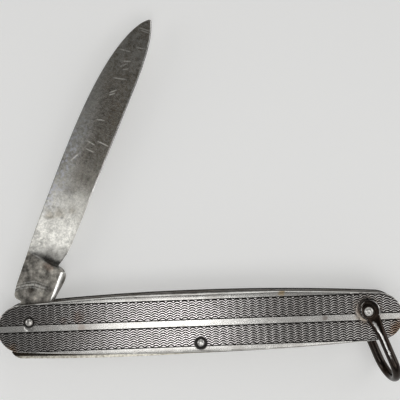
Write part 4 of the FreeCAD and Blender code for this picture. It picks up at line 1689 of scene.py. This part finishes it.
BLADE_STEEL = BladeSteel(
    "blade_steel", (0.31, 0.3, 0.27), (0.23, 0.215, 0.19), spread=0.6, roughness=0.36, wear=0.16,
    relief=0.012, pitting=0.5, stains=BLADE_STAINS, mottle=1.8, strokes=STROKES,
)
BAIL_STEEL = RubbedAndGlintSteel(
    "bail_steel", (0.042, 0.035, 0.03), (0.026, 0.017, 0.012),
    spread=0.75, roughness=0.2, wear=0.2, relief=0.012, pitting=0.7,
)
PIN_STEEL = Finish(
    "pin_steel", (0.72, 0.71, 0.68), (0.45, 0.42, 0.38),
    spread=0.5, roughness=0.3, wear=0.15, relief=0.006, pitting=0.3,
)
SPRING_STEEL = SpringSteel(
    "spring_steel", (0.42, 0.4, 0.36), (0.3, 0.24, 0.15),
    spread=0.8, roughness=0.34, wear=0.2, relief=0.02, pitting=0.7,
)
LINER_METAL = Finish(
    "liner_metal", (0.4, 0.38, 0.35), (0.2, 0.17, 0.14),
    spread=0.8, roughness=0.4, wear=0.2, relief=0.015, pitting=0.6,
)


def main() -> None:
    """Builds the knife's looks in order and reports each piece."""
    logging.basicConfig(level=logging.INFO, format="%(message)s")
    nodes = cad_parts
    Studio().build()
    silver, pin_steel, bail_steel = SILVER.material(), PIN_STEEL.material(), BAIL_STEEL.material()
    for name, side in (("front_scale", Side.FRONT), ("rear_scale", Side.REAR)):
        piece = StampedScale(side).build(f"stamped_{name}", silver)
        dress(piece, silver, "handle", "scale_metal", name)
    dress(Blade().build("ground_blade"), BLADE_STEEL.material(), "blade", "blade_steel", "main_blade")
    dress(Bail().build("bent_bail"), bail_steel, "bail_ring", "bail_steel", "bail")
    pin, rivet = PIN_END + turned_over(PIN_END), RIVET_END + turned_over(RIVET_END)
    turned = (
        ("main_pivot_pin", TurnedPart(MAIN_PIN, pin, 0.012), pin_steel, "pin_steel"),
        ("spring_pin", TurnedPart(SPRING_PIN, pin, 0.012), pin_steel, "pin_steel"),
        ("bail_rivet", TurnedPart(BAIL_PIN, rivet, 0.03), pin_steel, "pin_steel"),
        ("front_bail_washer", TurnedPart(BAIL_PIN, WASHER, 0.02), bail_steel, "bail_steel"),
        ("rear_bail_washer", TurnedPart(BAIL_PIN, turned_over(WASHER), 0.02), bail_steel, "bail_steel"),
    )
    for name, part, finish, slot in turned:
        dress(part.build(f"turned_{name}", finish), finish, "handle", slot, name)
    spring_steel, liner_metal = SPRING_STEEL.material(), LINER_METAL.material()
    plates = (
        ("back_spring", spring_steel, "spring_steel", 0.2),
        ("end_spacer", spring_steel, "spring_steel", 0.1),
        ("front_liner", liner_metal, "liner_metal", 0.08),
        ("rear_liner", liner_metal, "liner_metal", 0.08),
    )
    for name, finish, slot, width in plates:
        dress(chamfered(nodes[name], f"finished_{name}", width), finish, "handle", slot, name)


if __name__ == "__main__":
    main()
